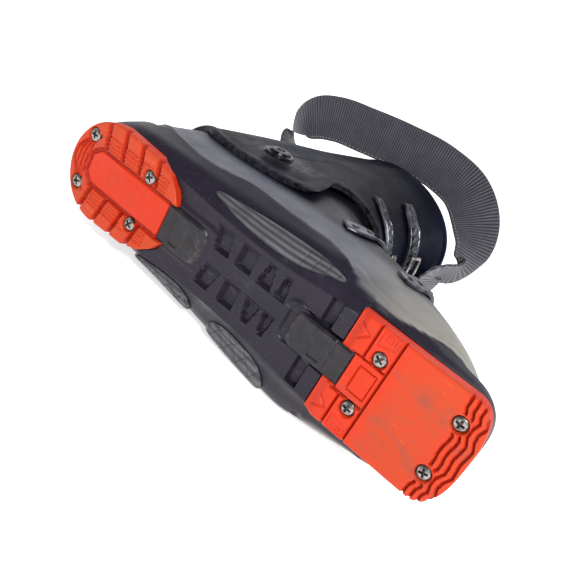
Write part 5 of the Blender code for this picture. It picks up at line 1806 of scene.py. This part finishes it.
@dataclass
class Liner:
    """The foam liner with its rolled edges, and the tongue with its quilted lines.

    Attributes:
        gap: space between the liner and the shell's inner face.
        slot: half width of the slot in front, as a share of a full turn.
        tongue_half: half width of the tongue, as a share of a full turn.
        quilt_pitch, quilt_depth: spacing and depth of the quilted lines.
    """

    gap: float = 0.5
    slot: float = 0.0277
    tongue_half: float = 0.11
    quilt_pitch: float = 17.0
    quilt_depth: float = 0.7

    def build(self, palette: Palette) -> None:
        """Make the liner and the tongue."""
        self.build_liner(palette)
        self.build_tongue(palette)

    def build_liner(self, palette: Palette) -> None:
        """A hollow boot: two offset levels of the form, joined by a half round roll at the top.

        Above the instep the wall is open in front, and flat strips close its two ends.
        """
        rows = np.array([SHELL_FLOOR + self.gap, 19, 24, 30, 39, 48, 56, 63, 70, 77, 85, 90, 96, 104, 114,
                         126, 139, 152, 168, 186, 204, 222, 238, 250, 259, 265, 270, 274, LINER_TOP])
        base = rows[0] + LINER_WALL
        inner_rows = np.concatenate([[base, base + 1.5, base + 3.5], rows[3:]])
        s = np.linspace(0.0, 1.0, 121)
        u = (0.5 + self.slot * (1 - 2 * s) + s) % 1.0
        h = np.where(u <= 0.5, 2 * u, 2 * (1 - u))
        climb = (CUFF_TOP_BACK - CUFF_TOP_FRONT) * (1 - h) ** 2

        def heights(levels: Array) -> Array:
            part = np.clip((levels - SHELL_RIM) / (LINER_TOP - SHELL_RIM), 0, 1)
            return levels[:, None] + part[:, None] * climb[None]

        def closed(grid: Array) -> Array:
            return np.concatenate([grid, grid[:, :1]], axis=1)

        outer_z, inner_z = heights(rows), heights(inner_rows)
        puff = 0.9 * np.sin(math.pi * np.clip((outer_z - 268) / 24.0, 0, 1))
        outside = FORM.surface(u, outer_z, SHELL_WALL + self.gap - puff)
        inside = FORM.surface(u, inner_z, SHELL_WALL + self.gap + LINER_WALL)
        turn = np.linspace(0, math.pi, 9)[:, None, None]
        middle = (outside[-1] + inside[-1]) / 2
        cap = middle + (outside[-1] - middle) * np.cos(turn) + np.array([0, 0, 3.0]) * np.sin(turn)
        first = int(np.argmax(rows >= 85))
        sheets = [Sheet(closed(outside)[: first + 1]), Sheet(closed(inside)[: first + 1]),
                  Sheet(outside[first:]), Sheet(inside[first:]), Sheet(cap)]
        for end in (0, -1):
            wall = np.stack([outside[first:, end], inside[first:, end]])
            sheets.append(Sheet(wall))
            sheets.append(Sheet(np.stack([cap[:5, end], cap[:3:-1, end]])))
        sheets.append(Sheet(np.stack([outside[first, [-1, 0]], inside[first, [-1, 0]]])))
        for grid in (outside, inside):
            ring = grid[0]
            n = len(ring)
            left, right = ring[: n // 2 + 1], ring[::-1][: n // 2 + 1]
            sheets.append(Sheet(np.stack([left, right], axis=1)))
        liner = make_piece("liner_padding", sheets, palette.fabric, ["liner"], 60)

    def build_tongue(self, palette: Palette) -> None:
        """A shield behind the slot: crowned and rounded at its borders."""
        tip = CUFF_TOP_FRONT + LINER_RISE + TONGUE_RISE
        z = np.concatenate([np.linspace(84, 280, 70), np.linspace(282, tip, 14)])
        u = np.linspace(0.5 - self.tongue_half, 0.5 + self.tongue_half, 56)
        inset = SHELL_WALL + LINER_WALL + 1.2
        side = 1 - np.abs((u - 0.5) / self.tongue_half) ** 8
        top = np.clip((tip - z) / 6.0, 0, 1)
        round_top = np.sqrt(1 - (1 - top) ** 2)[:, None]
        sloped = z[:, None] + 60 * np.abs(u[None] - 0.5)
        quilt = groove(np.abs((sloped % self.quilt_pitch) - self.quilt_pitch / 2), 0.8, 1.2) * side[None]
        body = np.sqrt(np.clip(side, 0, 1))[None] * round_top
        inside = 2.75 + 2.7 * body
        outside = 2.75 - 2.7 * body + self.quilt_depth * quilt * body
        outer = FORM.surface(u[None], z[:, None], inset + outside)
        inner = FORM.surface(u[None], z[:, None], inset + inside)
        tongue = make_piece("tongue_padding", closed_pair(outer, inner), palette.fabric,
                            ["tongue"], 60)


class Insole:
    """The insole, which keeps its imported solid."""

    def build(self, palette: Palette) -> None:
        """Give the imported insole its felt."""
        slots = frame["nodes"]["insole"].material_slots
        slots[0].material = palette.felt


# ---- the studio

@dataclass
class Studio:
    """A pale floor that curves up behind, three soft lights and the camera.

    The camera stands where its place in the boot's own axes says, in millimetres, is aimed at the
    middle of the boot and is rolled so that the boot's heel is up on the left.
    """

    place: Tuple[float, float, float] = (312.0, -166.4, -337.1)
    image_down: Tuple[float, float, float] = (0.6251, 0.7453, -0.2322)
    aim: Tuple[float, float, float] = (156.0, 10.0, 62.0)
    lens: float = 44.0

    def build(self) -> None:
        """Make floor, lights and camera."""
        self.floor()
        self.light("key", (0.75, -1.25, 1.0), 30.0, 0.3)
        self.light("fill", (-1.5, -1.1, 0.8), 4.0, 1.4)
        self.light("rim", (-0.5, 1.2, 1.5), 3.0, 0.9)
        world = bpy.data.worlds.new("studio")
        world.use_nodes = True
        world.node_tree.nodes["Background"].inputs["Color"].default_value = (0.90, 0.94, 1.0, 1.0)
        world.node_tree.nodes["Background"].inputs["Strength"].default_value = 0.15
        bpy.context.scene.world = world
        bpy.context.scene.view_settings.view_transform = "Standard"
        self.camera()

    def floor(self) -> None:
        """A sheet level in front that curves up behind in a quarter round."""
        turn = np.linspace(0, math.pi / 2, 24)
        y = np.concatenate([[-40.0], 4.0 + 2.0 * np.sin(turn), [6.0]])
        z = np.concatenate([[0.0], 2.0 - 2.0 * np.cos(turn), [20.0]])
        x = np.array([-40.0, 40.0])
        verts = [(float(px), float(py), float(pz)) for py, pz in zip(y, z) for px in x]
        faces = [(2 * i, 2 * i + 1, 2 * i + 3, 2 * i + 2) for i in range(len(y) - 1)]
        mesh = bpy.data.meshes.new("studio_floor")
        mesh.from_pydata(verts, [], faces)
        mesh.shade_smooth()
        g = Graph("studio_paper")
        g.finish("#F4F4F5", 0.85, Emission_Strength=0.66)
        g.shader.inputs["Emission Color"].default_value = (1.0, 1.0, 1.0, 1.0)
        mesh.materials.append(g.material)
        floor = bpy.data.objects.new("studio_floor", mesh)
        bpy.context.collection.objects.link(floor)

    def light(self, name: str, place: Tuple[float, float, float], power: float, size: float) -> None:
        """A square soft light aimed at the boot."""
        lamp = bpy.data.lights.new(name, "AREA")
        lamp.energy, lamp.size = power, size
        made = bpy.data.objects.new(name, lamp)
        made.location = place
        made.rotation_mode = "QUATERNION"
        made.rotation_quaternion = (Vector((0, 0, 0.06)) - Vector(place)).to_track_quat("-Z", "Y")
        bpy.context.collection.objects.link(made)

    def camera(self) -> None:
        """The camera: looks from its place to the aim, rolled by the image's downward direction."""
        eye = AXES.place(np.array(self.place))
        look = AXES.place(np.array(self.aim)) - eye
        look /= np.linalg.norm(look)
        down = AXES.direction(self.image_down)
        down = down - look * float(down @ look)
        down /= np.linalg.norm(down)
        right = np.cross(down, look)
        turn = Matrix([[right[i], -down[i], -look[i]] for i in range(3)]).to_4x4()
        lens = bpy.data.cameras.new("camera")
        lens.lens, lens.sensor_width = self.lens, 36.0
        lens.clip_start = 0.01
        made = bpy.data.objects.new("camera", lens)
        made.matrix_world = Matrix.Translation(Vector(eye)) @ turn
        bpy.context.collection.objects.link(made)
        bpy.context.scene.camera = made


def main() -> None:
    """Build the boot's pieces in order, then the studio."""
    palette = Palette()
    LowerShell().build(palette)
    HeelSole().build(palette)
    ToeSole().build(palette)
    Tab("heel_tab", 85.0, 118.0, 12.5, False).build(palette)
    Tab("toe_tab", 190.0, 230.0, 11.0, True).build(palette)
    SoleScrews().build(palette)
    for pad in (GripPad("inner_pad", -1, 104, 202, 0.5, 7.0, 15.5, 0.0),
                GripPad("outer_pad_front", 1, 138, 190, 0.45, 8.0, 21.0, 12.0),
                GripPad("outer_pad_rear", 1, 68, 122, 0.65, 9.5, 21.0, 12.0)):
        pad.build(palette)
    Cuff().build(palette)
    CuffRivets().build(palette)
    for buckle in buckles():
        buckle.build(palette)
    Liner().build(palette)
    PowerStrap().build(palette)
    Insole().build(palette)
    Studio().build()


if __name__ == "__main__":
    main()
